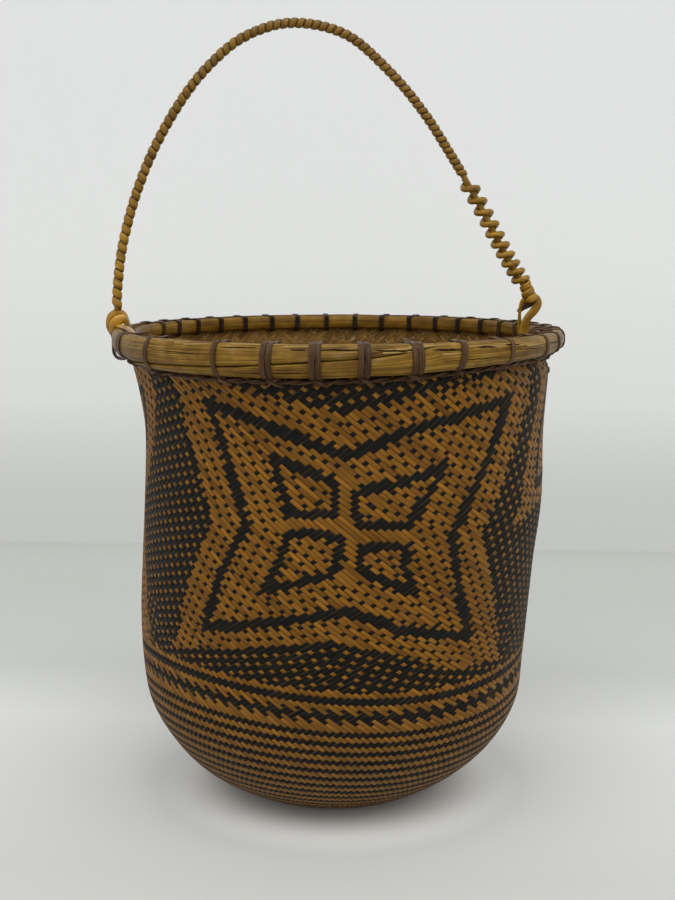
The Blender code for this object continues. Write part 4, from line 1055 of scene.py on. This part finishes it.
# Right tie: a flat cane bent into an eye round the handle's foot. Its broad leg goes down
# inside the rim and ends in a round pin through the wall, with a knot outside.
EYE_LEG = 0.0959
EYE_HALF, EYE_THICKNESS, EYE_RISE, EYE_WIDTH = 0.0054, 0.0022, 0.04, 0.0064
PIN_HEIGHT = 0.2205
EYE_OUTLINE = (
    (-0.22, 1.15, 0.425, 0.34), (-0.32, 1.15, 0.563, 0.4), (-0.38, 0.85, 0.68, 0.28),
    (-0.36, 0.3, 0.8, 0.26), (-0.12, 0.0, 0.885, 0.42), (0.45, 0.0, 0.93, 0.52),
    (1.05, -0.1, 0.925, 0.64), (1.27, -0.15, 0.85, 0.68), (0.96, -0.1, 0.765, 0.68),
    (0.38, 0.0, 0.672, 0.64), (0.06, 0.0, 0.57, 0.68), (0.0, 0.0, 0.42, 0.74),
    (0.0, 0.0, 0.263, 0.74), (0.0, 0.0, 0.125, 0.62),
)
stations = [(EYE_LEG + EYE_HALF * a, EYE_THICKNESS * b, PIN_HEIGHT + EYE_RISE * c,
             EYE_WIDTH * d, EYE_THICKNESS) for a, b, c, d in EYE_OUTLINE]
stations += [(EYE_LEG + 0.0011, 0.0, PIN_HEIGHT + 0.0011, 0.0034, 0.0034),
             (EYE_LEG + 0.0045, 0.0, PIN_HEIGHT, 0.0034, 0.0034),
             (0.1078, 0.0, PIN_HEIGHT, 0.0032, 0.0032), (0.1089, 0.0, PIN_HEIGHT, 0.0038, 0.0038),
             (0.1096, 0.0, PIN_HEIGHT, 0.0028, 0.0028)]
fine = smooth_line(stations, 5)
piece = single_strip("right_tie_cane", fine[:, :3], (0, 1, 0), fine[:, 4], fine[:, 3], 5,
                     handle_cane, "round")
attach(piece, "handle")
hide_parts("handle_right_eye")

# The right tie's end: a short flat end of cane that crosses the eye behind, close under the coils. It
# takes the dark lashing finish as painted shade, for the back of the eye in the shade of the coils.
fine = smooth_line(((0.0932, 0.0026, 0.25, 0.002), (0.095, 0.0026, 0.2521, 0.003),
                    (0.0976, 0.0026, 0.2536, 0.0034), (0.1, 0.0024, 0.2546, 0.003),
                    (0.1016, 0.002, 0.2556, 0.002)), 5)
piece = single_strip("right_tie_end", fine[:, :3], (0, 1, 0), 0.0012, fine[:, 3], 9, dark_cane)
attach(piece, "handle")
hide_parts("handle_right_eye")

# Binding: the coarse winding ends in three fat coils of flat cane round the handle's right foot
# and the top of the eye, which hold the two together.
BINDING_TOP, BINDING_FOOT = (0.0955, 0.2662), (0.0992, 0.2562)
BINDING_TURNS = 3
BINDING_THICKNESS = 0.0017
share = np.linspace(0, 1, BINDING_TURNS * 20 + 1)
middle_x, middle_z = (np.interp(share, (0, 1), ends) for ends in zip(BINDING_TOP, BINDING_FOOT))
down = np.array((BINDING_FOOT[0] - BINDING_TOP[0], 0.0, BINDING_FOOT[1] - BINDING_TOP[1]))
down /= np.linalg.norm(down)
leftward = np.array((down[2], 0.0, -down[0]))
turn = 2 * math.pi * BINDING_TURNS * share
tuck = np.clip(np.minimum(share, 1 - share) * 14, 0.35, 1.0)
reach = np.interp(share, (0, 0.5, 1), (0.0021, 0.0027, 0.0031)) * (0.75 + 0.25 * tuck)
line = np.stack([middle_x, 0 * share, middle_z], -1)
line += (leftward * np.cos(turn)[:, None] + np.array((0, 1, 0)) * np.sin(turn)[:, None]) \
    * reach[:, None]
wide = np.interp(share, (0, 1), (0.003, 0.0037)) * tuck
piece = single_strip("right_tie_binding", line, down, wide, BINDING_THICKNESS * tuck, 7,
                     handle_cane)
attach(piece, "handle")
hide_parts("handle_twist")

# Table and wall: two pale matt sheets, the wall turned a little, as in the photograph. The table
# is paler right under the basket, where the shadow would be too dark.
WALL_PLACE, WALL_SLANT, SHEET_REACH = 0.562, -0.0706, 3.0
TABLE_PALE = (0.95, 0.96, 0.93)
look = table = Finish("pale_table", 0.9, 0.1)
x, y, z = look.spot()
far = look.sum("ADD", y, look.sum("MULTIPLY", x, -WALL_SLANT))
beside = look.mixed((x, x), (y, y))
# Painted light and shade: the table is palest just behind the basket, and darker towards the front and
# towards the wall.
look.colour(look.blend(look.between(beside, 0.0048, 0.01, 1.0, 0.0), look.ramp(
    look.between(far, -0.6, WALL_PLACE), (
        (0.37, (0.59, 0.6, 0.575)), (0.5, (0.66, 0.67, 0.65)), (0.64, (0.72, 0.73, 0.71)),
        (0.76, (0.565, 0.575, 0.555)), (0.95, (0.53, 0.54, 0.51)), (1.0, (0.55, 0.56, 0.53)))),
    TABLE_PALE))
look = wall = Finish("pale_wall", 0.9, 0.1)
# Painted shade: the wall is darker at its foot and a little darker high up.
look.colour(look.ramp(look.between(look.spot()[2], 0.0, 0.6), (
    (0.0, (0.66, 0.67, 0.66)), (0.02, (0.66, 0.67, 0.66)), (0.13, (0.79, 0.8, 0.795)),
    (0.43, (0.81, 0.82, 0.815)), (0.9, (0.76, 0.77, 0.77)))))
# The wall is clear from behind, for views of the basket's back
either = wired(look.tree, "MixShader", {
    0: wired(look.tree, "NewGeometry")["Backfacing"], 1: look.shader.outputs[0],
    2: wired(look.tree, "BsdfTransparent")[0]})[0]
look.tree.links.new(either, look.tree.nodes["Material Output"].inputs["Surface"])
line_left, line_right = (WALL_PLACE + way * WALL_SLANT * SHEET_REACH for way in (-1, 1))
for name, finish, corners in (
    ("pale_table", table, ((-SHEET_REACH, -1.6, 0), (SHEET_REACH, -1.6, 0),
                           (SHEET_REACH, line_right, 0), (-SHEET_REACH, line_left, 0))),
    ("pale_wall", wall, ((-SHEET_REACH, line_left, 0), (SHEET_REACH, line_right, 0),
                         (SHEET_REACH, line_right, 2.2), (-SHEET_REACH, line_left, 2.2))),
):
    sheet = bpy.data.meshes.new(name)
    sheet.from_pydata(corners, [], [(0, 1, 2, 3)])
    sheet.materials.append(finish.material)
    backdrop = bpy.data.objects.new(name, sheet)
    bpy.context.scene.collection.objects.link(backdrop)

# Studio light: two large soft lamps high in front, the left one a little stronger, and an even
# pale world.
world = bpy.data.worlds.new("studio")
world.use_nodes = True
world.node_tree.nodes["Background"].inputs["Color"].default_value = (1.0, 1.0, 1.0, 1)
world.node_tree.nodes["Background"].inputs["Strength"].default_value = 0.73
bpy.context.scene.world = world
LAMP_AIM = Vector((0, 0, 0.15))
LAMP_SIZE = 1.8
for name, place, power in (
    ("left_lamp", (-0.55, -1.0, 1.9), 15.0), ("right_lamp", (0.75, -0.9, 1.8), 11.0),
):
    lamp = bpy.data.lights.new(name, "AREA")
    lamp.shape = "DISK"
    lamp.size = LAMP_SIZE
    lamp.energy = power
    holder = bpy.data.objects.new(name, lamp)
    holder.location = place
    aim = LAMP_AIM - Vector(place)
    holder.rotation_euler = aim.to_track_quat("-Z", "Y").to_euler()
    bpy.context.scene.collection.objects.link(holder)

# Camera: where the photograph was taken from, at about three quarters of a metre and a little
# above the rim.
eye = bpy.data.cameras.new("camera")
eye.lens = 56.8
eye.sensor_width = 36.0
eye.clip_start = 0.01
camera = bpy.data.objects.new("camera", eye)
camera.location = (0.0, -0.7321, 0.2922)
camera.rotation_euler = (math.radians(90 - 8.827), 0.0, 0.0)
bpy.context.scene.collection.objects.link(camera)
bpy.context.scene.camera = camera
bpy.context.scene.view_settings.view_transform = "Standard"
